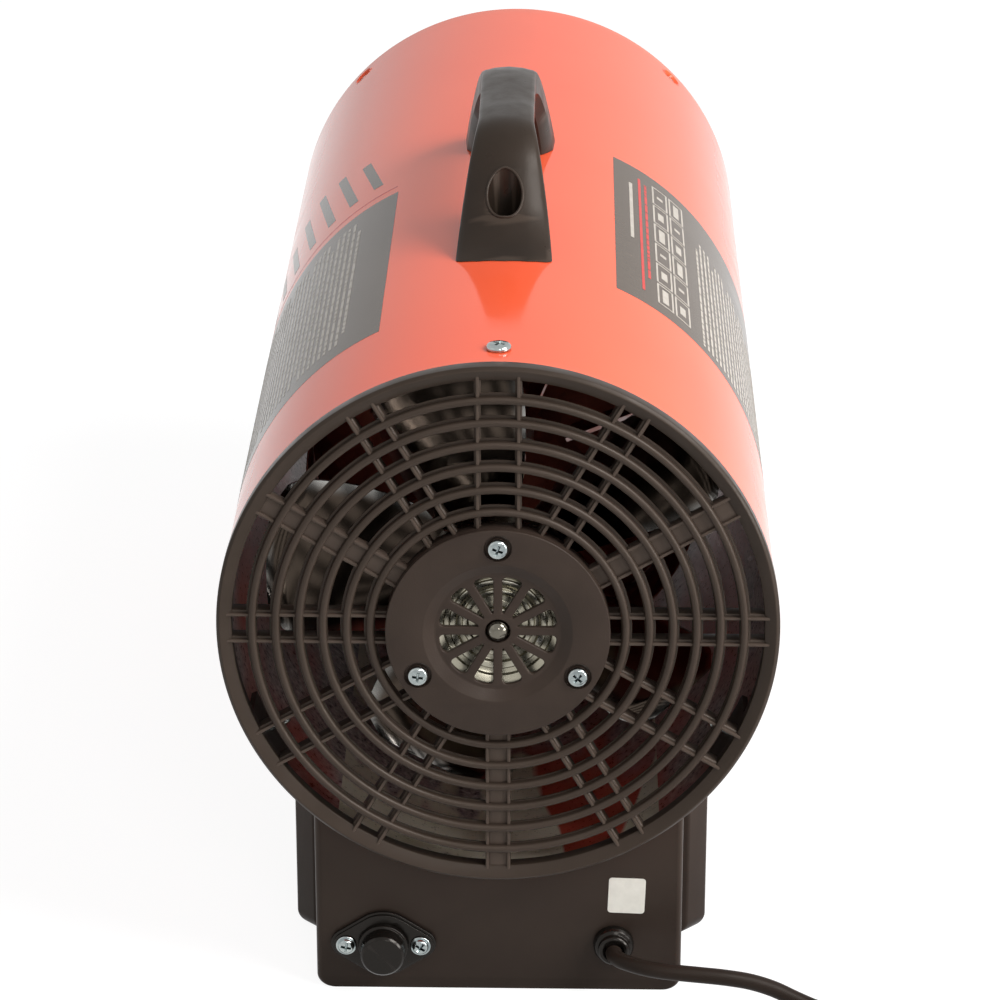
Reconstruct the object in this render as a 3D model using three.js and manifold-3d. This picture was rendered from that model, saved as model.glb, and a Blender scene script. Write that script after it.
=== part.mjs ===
// Portable gas heater: a tubular blower heater on a moulded base.
// Millimetres, +Z up, +Y towards the warm air outlet. The origin lies on the floor,
// under the middle of the heater. Inside the heater group y = 0 is the rear face of the
// grille ring and z = 0 is the axis of the casing.
import * as THREE from 'three';
import Module from 'manifold-3d';
import { mergeVertices } from 'three/addons/utils/BufferGeometryUtils.js';

const wasm = await Module();
wasm.setup();

// Clearances
const SEAT_GAP = 0.3; // between pieces that touch
const HOLE_GAP = 0.35; // round a screw or a shaft
const RUNNING_GAP = 0.5; // round a piece that moves

// Casing
const CASING_RADIUS = 105.3;
const CASING_CLEARANCE = 56.7; // casing above the floor
const CASING_WALL = 0.8;
const CASING_REAR = 6.9;
const CASING_FRONT = 490;
const CASING_SEGMENTS = 48;

// Rear grille
const RING_OVERHANG = 0.7;
const RING_BAND = 6.4;
const RING_EDGE = 1.1;
const GRILLE_WALL = 2.4;
const SKIRT_DEPTH = 30;
const STRAND_COUNT = 6;
const STRAND_DISC_GAP = 6.4;
const STRAND_WIDTH = 3;
const STRAND_NOSE_WIDTH = 1.5;
const STRAND_DEPTH = 3.1;
const STRAND_SEGMENTS = 30;
const RIB_FRONT = 1.3;
const RIB_BACK = 6.2;
const RIB_FRONT_WIDTH = 1.3;
const RIB_BACK_WIDTH = 2.4;
const RIB_SPACING_NARROW = 10.8;
const RIB_SPACING_WIDE = 15.2;
const SPOKE_BITE = 0.6; // how far a spoke stays short of the middle of the skirt
const RIB_ANGLES = [0, 60, 90, 120, 180, 210, 240, 300, 330];
const ARM_WIDTH = 9.6;
const ARM_ANGLES = [30, 150, 270];
const GRILLE_SCREW_Y = 21.3;
const GRILLE_BOSS_RADIUS = 5;
const GRILLE_BOSS_LENGTH = 9;

// Hub disc in the middle of the grille
const DISC_RADIUS = 42.3;
const DISC_FRONT = -2.2;
const DISC_EDGE = 0.8;
const DISH_RADIUS = 24.5;
const DISH_SLOPE = 3;
const DISH_DEPTH = 1.5;
const VENT_COUNT = 12;
const VENT_INNER_RADIUS = 7.8;
const VENT_OUTER_RADIUS = 21.8;
const VENT_SPOKE_WIDTH = 3.2;
const VENT_HOLE_RADIUS = 4.7;
const HUB_SCREW_CIRCLE = 34.8;
const HUB_BOSS_RADIUS = 5.6;
const HUB_RECESS_RADIUS = 5;
const HUB_RECESS_DEPTH = 0.6;

// Screws: shank radius, head radius, head height
const M4_PAN = { shank: 1.95, head: 3.9, height: 2.3 };
const M4_TRUSS = { shank: 1.95, head: 4.7, height: 2.1 };
const M4_FLAT = { shank: 1.95, head: 3.9, height: 1.2 };
const M5_PAN = { shank: 2.4, head: 4.6, height: 2.8 };
const SCREW_SEGMENTS = 8;
const SCREW_ANGLES = [90, 210, 330];
const GRILLE_SCREW_LENGTH = 12;
const HUB_SCREW_LENGTH = 14;
const TAB_SCREW_LENGTH = 8;
const HANDLE_SCREW_LENGTH = 12;
const SADDLE_SCREW_LENGTH = 12;
const FLANGE_SCREW_LENGTH = 9;
const PLATE_SCREW_LENGTH = 8;

// Motor
const MOTOR_FLANGE_Y = 8.3;
const MOTOR_FLANGE_RADIUS = 39.6;
const MOTOR_SHEET = 1.5;
const MOTOR_CAN_RADIUS = 31;
const MOTOR_CAN_LENGTH = 36;
const MOTOR_NOSE_RADIUS = 11;
const MOTOR_NOSE_LENGTH = 5;
const BEARING_CUP_RADIUS = 7.4;
const SHAFT_RADIUS = 4;
const SHAFT_THREAD_RADIUS = 3;
const SHAFT_THREAD_LENGTH = 8;
const SHAFT_INSET = 30;

// Fan
const FAN_TIP_GAP = 12.5;
const FAN_HUB_RADIUS = 15;
const FAN_HUB_LENGTH = 13;
const FAN_HUB_OFFSET = 5;
const FAN_HUB_EDGE = 1.5;
const FAN_BLADES = 5;
const FAN_START_ANGLE = 34;
const FAN_SHEET = 1.2;
const FAN_ROOT_PITCH = 38;
const FAN_TIP_PITCH = 20;
const FAN_ROOT_CHORD = 26;
const FAN_TIP_CHORD = 62;
const FAN_CAMBER = 0.09;
const NUT_RADIUS = 5.8;
const NUT_HEIGHT = 5;

// Combustion cylinder and burner
const AIR_GAP = 22.5; // between the casing and the cylinder
const CYLINDER_WALL = 0.8;
const CYLINDER_REAR = 150;
const CYLINDER_INSET = 6;
const TAB_WIDTH = 14;
const TAB_SHEET = 1.2;
const TAB_FOOT = 16;
const TAB_ANGLES = [45, 135, 225, 315];
const REAR_TAB_ANGLES = [30, 150, 270];
const BURNER_OFFSET = 24;
const BURNER_SHEET = 1;
const BURNER_SKIRT = 12;
const BURNER_DISH_DEPTH = 6;
const BURNER_SHOULDER = 14;
const LOUVRE_COUNT = 8;
const LOUVRE_INNER_RADIUS = 26;
const LOUVRE_MARGIN = 8;
const LOUVRE_WIDTH = 7;
const LOUVRE_TILT = 32;
const JET_RADIUS = 8;
const JET_LENGTH = 34;
const JET_NOSE = 5;
const PROBE_CIRCLE = 17;
const PROBE_ANGLES = [60, 120];
const ELECTRODE_RADIUS = 3.2;
const ELECTRODE_BACK = 22;
const ELECTRODE_FRONT = 14;
const ELECTRODE_WIRE_RADIUS = 0.8;
const ELECTRODE_WIRE_LENGTH = 13;
const THERMOCOUPLE_RADIUS = 2.6;
const THERMOCOUPLE_BACK = 18;
const THERMOCOUPLE_FRONT = 26;
const GAS_TUBE_RADIUS = 4;
const GAS_TUBE_BEND = 16.5;
const SUPPLY_TUBE_BEND = 14;
const SUPPLY_TUBE_STRAIGHT = 34;
const SUPPLY_TUBE_SLANT = 36;

// Handle
const HANDLE_REAR = 123.5;
const HANDLE_LENGTH = 167;
const HANDLE_RISE = 43.7; // top of the grip above the casing
const HANDLE_ROOT = 8; // start of the legs inside the casing, before the seat is cut
const HANDLE_REAR_INSET = 5.8; // from the end of the handle to the middle of a leg's root
const HANDLE_FRONT_INSET = 6.5;
const HANDLE_REAR_RUN = 39; // level run of the sloping rear leg
const HANDLE_REAR_BEND = 11;
const HANDLE_FRONT_RUN = 23;
const HANDLE_FRONT_BEND = 24;
const HANDLE_GRIP_WIDTH = 22.2;
const HANDLE_FOOT_WIDTH = 38.4;
const HANDLE_FLARE = 0.72; // below 1, so the legs widen soonest just under the grip
const HANDLE_GRIP_THICKNESS = 16;
const HANDLE_LEG_THICKNESS = 19;
const HANDLE_CROWN = 1.8;
const HANDLE_CROWN_FLAT = 0.5; // share of the width
const HANDLE_INNER_EDGE = 3.4;
const HANDLE_SCREW_INSET = 20;
const HANDLE_POCKET_RADIUS = 7;
const HANDLE_POCKET_FLOOR = 4;

// Base
const BASE_WIDTH = 166;
const BASE_REAR = 60;
const BASE_FRONT = 345;
const BASE_CORNER = 7;
const BASE_EDGE = 7;
const BASE_WALL = 3;
const BASE_FLOOR = 6;
const PANEL_WIDTH = 143.6;
const PANEL_REAR = 15;
const BOTTOM_PLATE_SHEET = 1.5;
const BOTTOM_PLATE_RIM = 14;
const BOTTOM_PLATE_LIP = 10;
const PLATE_SCREW_RAISE = 0.4;
const PASSAGE_RADIUS = 15;
const PASSAGE_Y = 138;
const SADDLE_SCREW_INSET = 32;
const SADDLE_BOSS_RADIUS = 5;
const SADDLE_BOSS_LENGTH = 11.5;
const PLATE_SCREW_INSET = 20;

// Gas inlet
const INLET_X = -45.2;
const INLET_HEIGHT = 20.6;
const FLANGE_RADIUS = 14;
const FLANGE_END_RADIUS = 6;
const FLANGE_THICKNESS = 2.6;
const FLANGE_STEP = 1;
const FLANGE_STEP_INSET = 0.9;
const FLANGE_SCREW_OFFSET = 14.6;
const NIPPLE_RADIUS = 7.2;
const NIPPLE_BORE = 3;
const NIPPLE_LENGTH = 8;
const NIPPLE_SHANK = 12;
const NIPPLE_NUT_RIM = 3;
const NIPPLE_NUT_HEIGHT = 5;
const CAP_RADIUS = 8.6;
const CAP_COLLAR_RADIUS = 9.7;
const CAP_COLLAR_LENGTH = 2.4;
const CAP_LENGTH = 8.2;
const CAP_TOP = 1.6;

// Gas valve and spark igniter in the left wall of the base
const VALVE_Y = 205;
const CONTROL_SPACING = 40;
const CONTROL_HEIGHT = 40;
const VALVE_BODY_WIDTH = 30;
const VALVE_BODY_HEIGHT = 30;
const VALVE_BODY_DEPTH = 26;
const STEM_SOCKET_DEPTH = 12;
const VALVE_BUTTON_RADIUS = 9;
const VALVE_BUTTON_LENGTH = 10;
const VALVE_TRAVEL = 5;
const IGNITER_BODY_RADIUS = 8;
const IGNITER_BODY_LENGTH = 34;
const IGNITER_BUTTON_RADIUS = 6;
const IGNITER_BUTTON_LENGTH = 9;
const IGNITER_TRAVEL = 6;
const BEZEL_LIP = 2.4;
const BEZEL_THICKNESS = 2;
const SLEEVE_WALL = 2.2;
const BUTTON_STEM_RADIUS = 3;
const VALVE_STEM_REACH = 5;
const IGNITER_STEM_REACH = 4;

// Power cord
const CORD_RADIUS = 3.2;
const CORD_SIDES = 8;
const GLAND_X = 45.2;
const GLAND_HEIGHT = 20.9;
const GLAND_RADIUS = 8;
const GLAND_SHANK_RADIUS = 7;
const GLAND_LENGTH = 7.4;
const GLAND_NUT_RADIUS = 9.5;
const GLAND_NUT_HEIGHT = 4.5;
const CORD_FLOOR_GAP = 0.2;
const COIL_CENTRE = [190, -75];
const COIL_OUTER_RADIUS = 44;
const COIL_PITCH = 7;
const COIL_LAYER_RISE = 7;
const COIL_TURNS = 4.45; // in two layers, wound in and out again
const COIL_STEPS = 24;
const COIL_SIDES = 6;
const COIL_START_ANGLE = 72;
const PLUG_RADIUS = 18.5;
const PLUG_LENGTH = 40;
const PLUG_FACE_LENGTH = 17;
const PLUG_SHOULDER_LENGTH = 13;
const PLUG_NECK_RADIUS = 9;
const PLUG_GROOVE_DEPTH = 1.6;
const PLUG_GROOVE_WIDTH = 8;
const PIN_SOCKET_DEPTH = 8;
const RELIEF_LENGTH = 28;
const RELIEF_TIP_RADIUS = 4.6;
const PIN_RADIUS = 2.4;
const PIN_LENGTH = 19;
const PIN_SPACING = 19;
const LEAD_LENGTH = 60;

// Sizes that follow from the ones above
const AXIS_HEIGHT = CASING_RADIUS + CASING_CLEARANCE;
const FLOOR = -AXIS_HEIGHT;
const CASING_INNER = CASING_RADIUS - CASING_WALL;
const SKIRT_RADIUS = CASING_INNER - SEAT_GAP;
const SADDLE_RADIUS = CASING_RADIUS + SEAT_GAP;
const RING_RADIUS = CASING_RADIUS + RING_OVERHANG;
const RING_INNER_RADIUS = RING_RADIUS - RING_BAND;
const STRAND_FIRST_RADIUS = DISC_RADIUS + STRAND_DISC_GAP;
const STRAND_PITCH = (RING_INNER_RADIUS + STRAND_WIDTH / 2 - STRAND_FIRST_RADIUS) / STRAND_COUNT;
const FAN_RADIUS = CASING_INNER - FAN_TIP_GAP;
const CYLINDER_RADIUS = CASING_INNER - AIR_GAP;
const BURNER_DISH_RADIUS = CYLINDER_RADIUS - BURNER_SHOULDER;
const LOUVRE_OUTER_RADIUS = BURNER_DISH_RADIUS - LOUVRE_MARGIN;
const HANDLE_TOP = CASING_RADIUS + HANDLE_RISE;
const HUB_SCREW_SEAT = DISC_FRONT + HUB_RECESS_DEPTH - SEAT_GAP;
const HEATER_LENGTH = CASING_FRONT - HUB_SCREW_SEAT + M4_PAN.height;
const MIDDLE_Y = CASING_FRONT - HEATER_LENGTH / 2;
const BURNER_Y = CYLINDER_REAR + BURNER_OFFSET;
const CYLINDER_FRONT = CASING_FRONT - CYLINDER_INSET;
const MOTOR_CAN_FRONT = MOTOR_FLANGE_Y + MOTOR_SHEET + MOTOR_CAN_LENGTH;
const MOTOR_FRONT = MOTOR_CAN_FRONT + MOTOR_NOSE_LENGTH;
const FAN_HUB_REAR = MOTOR_FRONT + FAN_HUB_OFFSET;
const FAN_HUB_FRONT = FAN_HUB_REAR + FAN_HUB_LENGTH;
const INLET_Z = FLOOR + INLET_HEIGHT;
const GLAND_Z = FLOOR + GLAND_HEIGHT;
const CONTROL_Z = FLOOR + CONTROL_HEIGHT;
const IGNITER_Y = VALVE_Y + CONTROL_SPACING;
const BASE_LEFT = -BASE_WIDTH / 2;

// Materials
function finish(color, roughness, metalness) {
  return new THREE.MeshStandardMaterial({ color, roughness, metalness });
}
const paint = finish(0xe8502f, 0.28, 0);
const moulding = finish(0x3b322d, 0.45, 0);
const satinBlack = finish(0x26211f, 0.4, 0);
const softBlack = finish(0x1d1b1a, 0.6, 0);
const zinc = finish(0xb9bcbd, 0.35, 1);
const galvanised = finish(0x9a9ea0, 0.5, 1);
const aluminium = finish(0xbfc4c6, 0.4, 1);
const brass = finish(0xb08d4a, 0.35, 1);
const copper = finish(0xa9653c, 0.35, 1);
const ceramic = finish(0xe9e5da, 0.5, 0);
const nickel = finish(0xc9c9c6, 0.2, 1);

// Shapes
const radians = THREE.MathUtils.degToRad;

function toSolid(source) {
  const geometry = source.clone();
  geometry.deleteAttribute('normal');
  geometry.deleteAttribute('uv');
  const merged = mergeVertices(geometry, 1e-4);
  const points = merged.attributes.position.array;
  const corners = merged.index.array;
  const kept = [];
  let volume = 0;
  for (let i = 0; i < corners.length; i += 3) {
    const [a, b, c] = [corners[i], corners[i + 1], corners[i + 2]];
    if (a === b || b === c || c === a) {
      continue;
    }
    kept.push(a, b, c);
    const pa = new THREE.Vector3().fromArray(points, 3 * a);
    const pb = new THREE.Vector3().fromArray(points, 3 * b);
    const pc = new THREE.Vector3().fromArray(points, 3 * c);
    volume += pa.dot(pb.cross(pc));
  }
  if (volume < 0) {
    kept.reverse();
  }
  const mesh = new wasm.Mesh({
    numProp: 3,
    vertProperties: new Float32Array(points),
    triVerts: new Uint32Array(kept),
  });
  return new wasm.Manifold(mesh);
}

function toGeometry(solid) {
  const mesh = solid.getMesh();
  const geometry = new THREE.BufferGeometry();
  geometry.setAttribute('position', new THREE.BufferAttribute(mesh.vertProperties, 3));
  geometry.setIndex(new THREE.BufferAttribute(mesh.triVerts, 1));
  geometry.computeVertexNormals();
  return geometry;
}

function unite(solids) {
  return solids.reduce((whole, next) => whole.add(next));
}

function cut(solid, tools) {
  return tools.reduce((whole, tool) => whole.subtract(tool), solid);
}

// Profile of [radius, y] turned about the Y axis.
function revolve(profile, segments) {
  const points = profile.map(([radius, y]) => new THREE.Vector2(radius, y));
  const first = points[0];
  const last = points[points.length - 1];
  if (first.x > 0 || last.x > 0) {
    points.push(first.clone());
  }
  return toSolid(new THREE.LatheGeometry(points, segments));
}

// Rod along Y from y0 to y1.
function rod(radius, y0, y1, segments = 24) {
  const geometry = new THREE.CylinderGeometry(radius, radius, y1 - y0, segments);
  geometry.translate(0, (y0 + y1) / 2, 0);
  return toSolid(geometry);
}

function block(x0, x1, y0, y1, z0, z1) {
  const geometry = new THREE.BoxGeometry(x1 - x0, y1 - y0, z1 - z0);
  geometry.translate((x0 + x1) / 2, (y0 + y1) / 2, (z0 + z1) / 2);
  return toSolid(geometry);
}

function extrude(shape, depth, curveSegments = 6) {
  return new THREE.ExtrudeGeometry(shape, { depth, bevelEnabled: false, curveSegments });
}

// Shape drawn in x and z, running from y0 to y1.
function extrudeY(shape, y0, y1, curveSegments) {
  const geometry = extrude(shape, y1 - y0, curveSegments);
  geometry.rotateX(Math.PI / 2);
  geometry.translate(0, y1, 0);
  return toSolid(geometry);
}

// Shape drawn in x and y, running from z0 to z1.
function extrudeZ(shape, z0, z1, curveSegments) {
  const geometry = extrude(shape, z1 - z0, curveSegments);
  geometry.translate(0, 0, z0);
  return toSolid(geometry);
}

// Turns a solid about the Y axis so that +Z goes to the angle, measured from +X to +Z.
function turned(solid, degrees) {
  return solid.rotate([0, 90 - degrees, 0]);
}

function polygon(points) {
  return new THREE.Shape(points.map(([x, y]) => new THREE.Vector2(x, y)));
}

// Rounded rectangle; radii in the order low left, low right, high right, high left.
function roundedRectangle(x0, x1, y0, y1, [lowLeft, lowRight, highRight, highLeft]) {
  const shape = new THREE.Shape();
  shape.moveTo(x0 + lowLeft, y0);
  shape.lineTo(x1 - lowRight, y0);
  if (lowRight > 0) {
    shape.absarc(x1 - lowRight, y0 + lowRight, lowRight, -Math.PI / 2, 0, false);
  }
  shape.lineTo(x1, y1 - highRight);
  if (highRight > 0) {
    shape.absarc(x1 - highRight, y1 - highRight, highRight, 0, Math.PI / 2, false);
  }
  shape.lineTo(x0 + highLeft, y1);
  if (highLeft > 0) {
    shape.absarc(x0 + highLeft, y1 - highLeft, highLeft, Math.PI / 2, Math.PI, false);
  }
  shape.lineTo(x0, y0 + lowLeft);
  if (lowLeft > 0) {
    shape.absarc(x0 + lowLeft, y0 + lowLeft, lowLeft, Math.PI, 1.5 * Math.PI, false);
  }
  return shape;
}

// Closed skin through rings of points, each ring with as many points as the others.
function loft(rings) {
  const count = rings[0].length;
  const positions = rings.flat().flatMap((point) => [point.x, point.y, point.z]);
  const index = [];
  for (let ring = 0; ring + 1 < rings.length; ring += 1) {
    for (let side = 0; side < count; side += 1) {
      const a = ring * count + side;
      const b = ring * count + ((side + 1) % count);
      index.push(a, b, b + count, a, b + count, a + count);
    }
  }
  const end = (rings.length - 1) * count;
  for (let side = 1; side + 1 < count; side += 1) {
    index.push(0, side + 1, side);
    index.push(end, end + side, end + side + 1);
  }
  const geometry = new THREE.BufferGeometry();
  geometry.setAttribute('position', new THREE.Float32BufferAttribute(positions, 3));
  geometry.setIndex(index);
  return toSolid(geometry);
}

// Screw along +Y: the head seats at y = 0 and rises towards -Y, the shank runs to +Y.
function screw({ shank, head, height }, length) {
  const profile = [
    [0, -height],
    [0.65 * head, -0.85 * height],
    [head, 0],
    [shank, 0],
    [shank, length],
    [0, length],
  ];
  return revolve(profile, SCREW_SEGMENTS);
}

// Radial screw in the casing: the head lies outside, the shank points at the axis.
function radialScrew(kind, length, seatRadius, y, degrees) {
  const upright = screw(kind, length).rotate([-90, 0, 0]);
  return turned(upright.translate([0, y, seatRadius]), degrees);
}

function radialHole(radius, from, to, y, degrees, segments = 8) {
  const drill = rod(radius, from, to, segments).rotate([90, 0, 0]);
  return turned(drill.translate([0, y, 0]), degrees);
}

function onCircle(radius, degrees) {
  return [radius * Math.cos(radians(degrees)), radius * Math.sin(radians(degrees))];
}

// Casing
function outerCasing() {
  const tube = revolve(
    [
      [CASING_INNER, CASING_REAR],
      [CASING_RADIUS, CASING_REAR],
      [CASING_RADIUS, CASING_FRONT],
      [CASING_INNER, CASING_FRONT],
    ],
    CASING_SEGMENTS,
  );
  const wallFrom = CASING_INNER - 5;
  const wallTo = CASING_RADIUS + 5;
  const holes = [];
  for (const degrees of SCREW_ANGLES) {
    holes.push(radialHole(M4_TRUSS.shank + HOLE_GAP, wallFrom, wallTo, GRILLE_SCREW_Y, degrees));
  }
  for (const degrees of TAB_ANGLES) {
    holes.push(radialHole(M4_PAN.shank + HOLE_GAP, wallFrom, wallTo, tabScrewY(), degrees));
  }
  for (const y of handleScrewYs()) {
    holes.push(radialHole(M5_PAN.shank + HOLE_GAP, wallFrom, wallTo, y, 90));
  }
  for (const [y, degrees] of saddleScrewPlaces()) {
    holes.push(radialHole(M5_PAN.shank + HOLE_GAP, wallFrom, wallTo, y, degrees));
  }
  holes.push(radialHole(PASSAGE_RADIUS, wallFrom, wallTo, PASSAGE_Y, 270, 16));
  return cut(tube, holes);
}

function tabScrewY() {
  return CYLINDER_FRONT - TAB_FOOT / 2;
}

function handleScrewYs() {
  const rear = HANDLE_REAR + HANDLE_SCREW_INSET;
  return [rear, HANDLE_REAR + HANDLE_LENGTH - HANDLE_SCREW_INSET];
}

function saddleScrewPlaces() {
  const places = [];
  for (const y of [BASE_REAR + SADDLE_SCREW_INSET, BASE_FRONT - SADDLE_SCREW_INSET]) {
    places.push([y, 270]);
  }
  return places;
}

// Grille
function grilleRing() {
  const shoulder = CASING_REAR - SEAT_GAP;
  const skirtInner = SKIRT_RADIUS - GRILLE_WALL;
  return revolve(
    [
      [RING_INNER_RADIUS, 0],
      [RING_RADIUS - RING_EDGE, 0],
      [RING_RADIUS, RING_EDGE],
      [RING_RADIUS, shoulder],
      [SKIRT_RADIUS, shoulder],
      [SKIRT_RADIUS, SKIRT_DEPTH],
      [skirtInner, SKIRT_DEPTH],
      [skirtInner, GRILLE_WALL],
      [RING_INNER_RADIUS, GRILLE_WALL],
    ],
    CASING_SEGMENTS,
  );
}

function strand(radius) {
  const side = STRAND_WIDTH / 2;
  const nose = STRAND_NOSE_WIDTH / 2;
  return revolve(
    [
      [radius - side, STRAND_DEPTH],
      [radius - nose, 0],
      [radius + nose, 0],
      [radius + side, STRAND_DEPTH],
    ],
    STRAND_SEGMENTS,
  );
}

// Spoke outline in x and y, drawn across the spoke, run along z from the disc to the rim.
function spoke(outline, degrees, offset) {
  const from = DISC_RADIUS - GRILLE_WALL / 2;
  const to = SKIRT_RADIUS - GRILLE_WALL / 2 - SPOKE_BITE;
  const straight = extrudeZ(outline, from, to);
  return turned(straight.translate([offset, 0, 0]), degrees);
}

function ribOutline() {
  return polygon([
    [-RIB_BACK_WIDTH / 2, RIB_BACK],
    [-RIB_FRONT_WIDTH / 2, RIB_FRONT],
    [RIB_FRONT_WIDTH / 2, RIB_FRONT],
    [RIB_BACK_WIDTH / 2, RIB_BACK],
  ]);
}

function armOutline() {
  const outer = ARM_WIDTH / 2;
  return polygon([
    [-outer, RIB_FRONT],
    [outer, RIB_FRONT],
    [outer, RIB_BACK],
    [-outer, RIB_BACK],
  ]);
}

function grilleSpokes() {
  const spokes = [];
  for (const degrees of ARM_ANGLES) {
    spokes.push(spoke(armOutline(), degrees, 0));
  }
  for (const degrees of RIB_ANGLES) {
    const wide = SCREW_ANGLES.includes(degrees);
    const spacing = wide ? RIB_SPACING_WIDE : RIB_SPACING_NARROW;
    for (const side of [-1, 1]) {
      spokes.push(spoke(ribOutline(), degrees, (side * spacing) / 2));
    }
  }
  return spokes;
}

function ventSlot(degrees) {
  const half = radians(180 / VENT_COUNT);
  const spokeHalf = VENT_SPOKE_WIDTH / 2;
  const edge = (radius, side) => {
    const along = Math.sqrt(radius ** 2 - spokeHalf ** 2);
    const x = along * Math.sin(half) - spokeHalf * Math.cos(half);
    const z = along * Math.cos(half) + spokeHalf * Math.sin(half);
    return [side * x, z];
  };
  const shape = polygon([
    edge(VENT_INNER_RADIUS, -1),
    edge(VENT_INNER_RADIUS, 1),
    edge(VENT_OUTER_RADIUS, 1),
    edge(VENT_OUTER_RADIUS, -1),
  ]);
  return turned(extrudeY(shape, DISC_FRONT - 1, RIB_BACK), degrees);
}

function hubDisc() {
  const back = DISC_FRONT + GRILLE_WALL;
  const dishBack = back + DISH_DEPTH;
  const plate = revolve(
    [
      [VENT_HOLE_RADIUS, DISC_FRONT + DISH_DEPTH],
      [DISH_RADIUS, DISC_FRONT + DISH_DEPTH],
      [DISH_RADIUS + DISH_SLOPE, DISC_FRONT],
      [DISC_RADIUS - DISC_EDGE, DISC_FRONT],
      [DISC_RADIUS, DISC_FRONT + DISC_EDGE],
      [DISC_RADIUS, RIB_BACK],
      [DISC_RADIUS - GRILLE_WALL, RIB_BACK],
      [DISC_RADIUS - GRILLE_WALL, back],
      [DISH_RADIUS + DISH_SLOPE, back],
      [DISH_RADIUS, dishBack],
      [VENT_HOLE_RADIUS, dishBack],
    ],
    30,
  );
  const slots = [];
  for (let i = 0; i < VENT_COUNT; i += 1) {
    slots.push(ventSlot(((i + 0.5) * 360) / VENT_COUNT));
  }
  return cut(plate, slots);
}

function hubBoss(degrees) {
  const [x, z] = onCircle(HUB_SCREW_CIRCLE, degrees);
  const top = MOTOR_FLANGE_Y - SEAT_GAP;
  return rod(HUB_BOSS_RADIUS, DISC_FRONT + GRILLE_WALL / 2, top, 10).translate([x, 0, z]);
}

function hubScrewHole(degrees) {
  const [x, z] = onCircle(HUB_SCREW_CIRCLE, degrees);
  const floor = DISC_FRONT + HUB_RECESS_DEPTH;
  const recess = rod(HUB_RECESS_RADIUS, DISC_FRONT - 1, floor, 14);
  const bore = rod(M4_PAN.shank + HOLE_GAP, DISC_FRONT - 1, MOTOR_FLANGE_Y + 1, 8);
  return recess.add(bore).translate([x, 0, z]);
}

function grilleBoss(degrees) {
  const inner = SKIRT_RADIUS - GRILLE_WALL;
  const outer = inner + GRILLE_WALL / 2;
  const from = inner - GRILLE_BOSS_LENGTH;
  return radialHole(GRILLE_BOSS_RADIUS, from, outer, GRILLE_SCREW_Y, degrees);
}

function rearGrille() {
  const parts = [grilleRing(), hubDisc(), ...grilleSpokes()];
  for (let i = 0; i < STRAND_COUNT; i += 1) {
    parts.push(strand(STRAND_FIRST_RADIUS + i * STRAND_PITCH));
  }
  const cuts = [];
  for (const degrees of SCREW_ANGLES) {
    parts.push(hubBoss(degrees), grilleBoss(degrees));
    cuts.push(hubScrewHole(degrees));
    const radius = M4_TRUSS.shank + HOLE_GAP;
    const from = SKIRT_RADIUS - GRILLE_WALL - GRILLE_BOSS_LENGTH - 1;
    cuts.push(radialHole(radius, from, SKIRT_RADIUS + 1, GRILLE_SCREW_Y, degrees));
  }
  return cut(unite(parts), cuts);
}

// Motor
function motorHousing() {
  const flangeBack = MOTOR_FLANGE_Y + MOTOR_SHEET;
  const bore = SHAFT_RADIUS + HOLE_GAP;
  const cupTop = DISC_FRONT + DISH_DEPTH - 0.4;
  const tip = VENT_HOLE_RADIUS - RUNNING_GAP;
  const shell = revolve(
    [
      [0, cupTop],
      [0.7 * tip, cupTop + 0.5],
      [tip, cupTop + 2.4],
      [tip, cupTop + 3.8],
      [BEARING_CUP_RADIUS, cupTop + 4.6],
      [BEARING_CUP_RADIUS, MOTOR_FLANGE_Y - 1],
      [BEARING_CUP_RADIUS + 3, MOTOR_FLANGE_Y + 1],
      [BEARING_CUP_RADIUS + 7, MOTOR_FLANGE_Y - 1],
      [MOTOR_CAN_RADIUS - 6, MOTOR_FLANGE_Y],
      [MOTOR_FLANGE_RADIUS, MOTOR_FLANGE_Y],
      [MOTOR_FLANGE_RADIUS, flangeBack],
      [MOTOR_CAN_RADIUS, flangeBack],
      [MOTOR_CAN_RADIUS, MOTOR_CAN_FRONT],
      [MOTOR_NOSE_RADIUS, MOTOR_CAN_FRONT],
      [MOTOR_NOSE_RADIUS, MOTOR_FRONT],
      [bore, MOTOR_FRONT],
      [bore, MOTOR_FRONT - SHAFT_INSET],
      [0, MOTOR_FRONT - SHAFT_INSET],
    ],
    20,
  );
  const holes = SCREW_ANGLES.map((degrees) => {
    const [x, z] = onCircle(HUB_SCREW_CIRCLE, degrees);
    const radius = M4_PAN.shank + HOLE_GAP;
    return rod(radius, MOTOR_FLANGE_Y - 1, flangeBack + 1, 8).translate([x, 0, z]);
  });
  return cut(shell, holes);
}

function motorShaft() {
  const rear = MOTOR_FRONT - SHAFT_INSET + SEAT_GAP;
  const shoulder = FAN_HUB_FRONT - 1;
  const end = shoulder + SHAFT_THREAD_LENGTH;
  return revolve(
    [
      [0, rear],
      [SHAFT_RADIUS, rear],
      [SHAFT_RADIUS, shoulder],
      [SHAFT_THREAD_RADIUS, shoulder],
      [SHAFT_THREAD_RADIUS, end - 0.6],
      [SHAFT_THREAD_RADIUS - 0.6, end],
      [0, end],
    ],
    16,
  );
}

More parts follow.
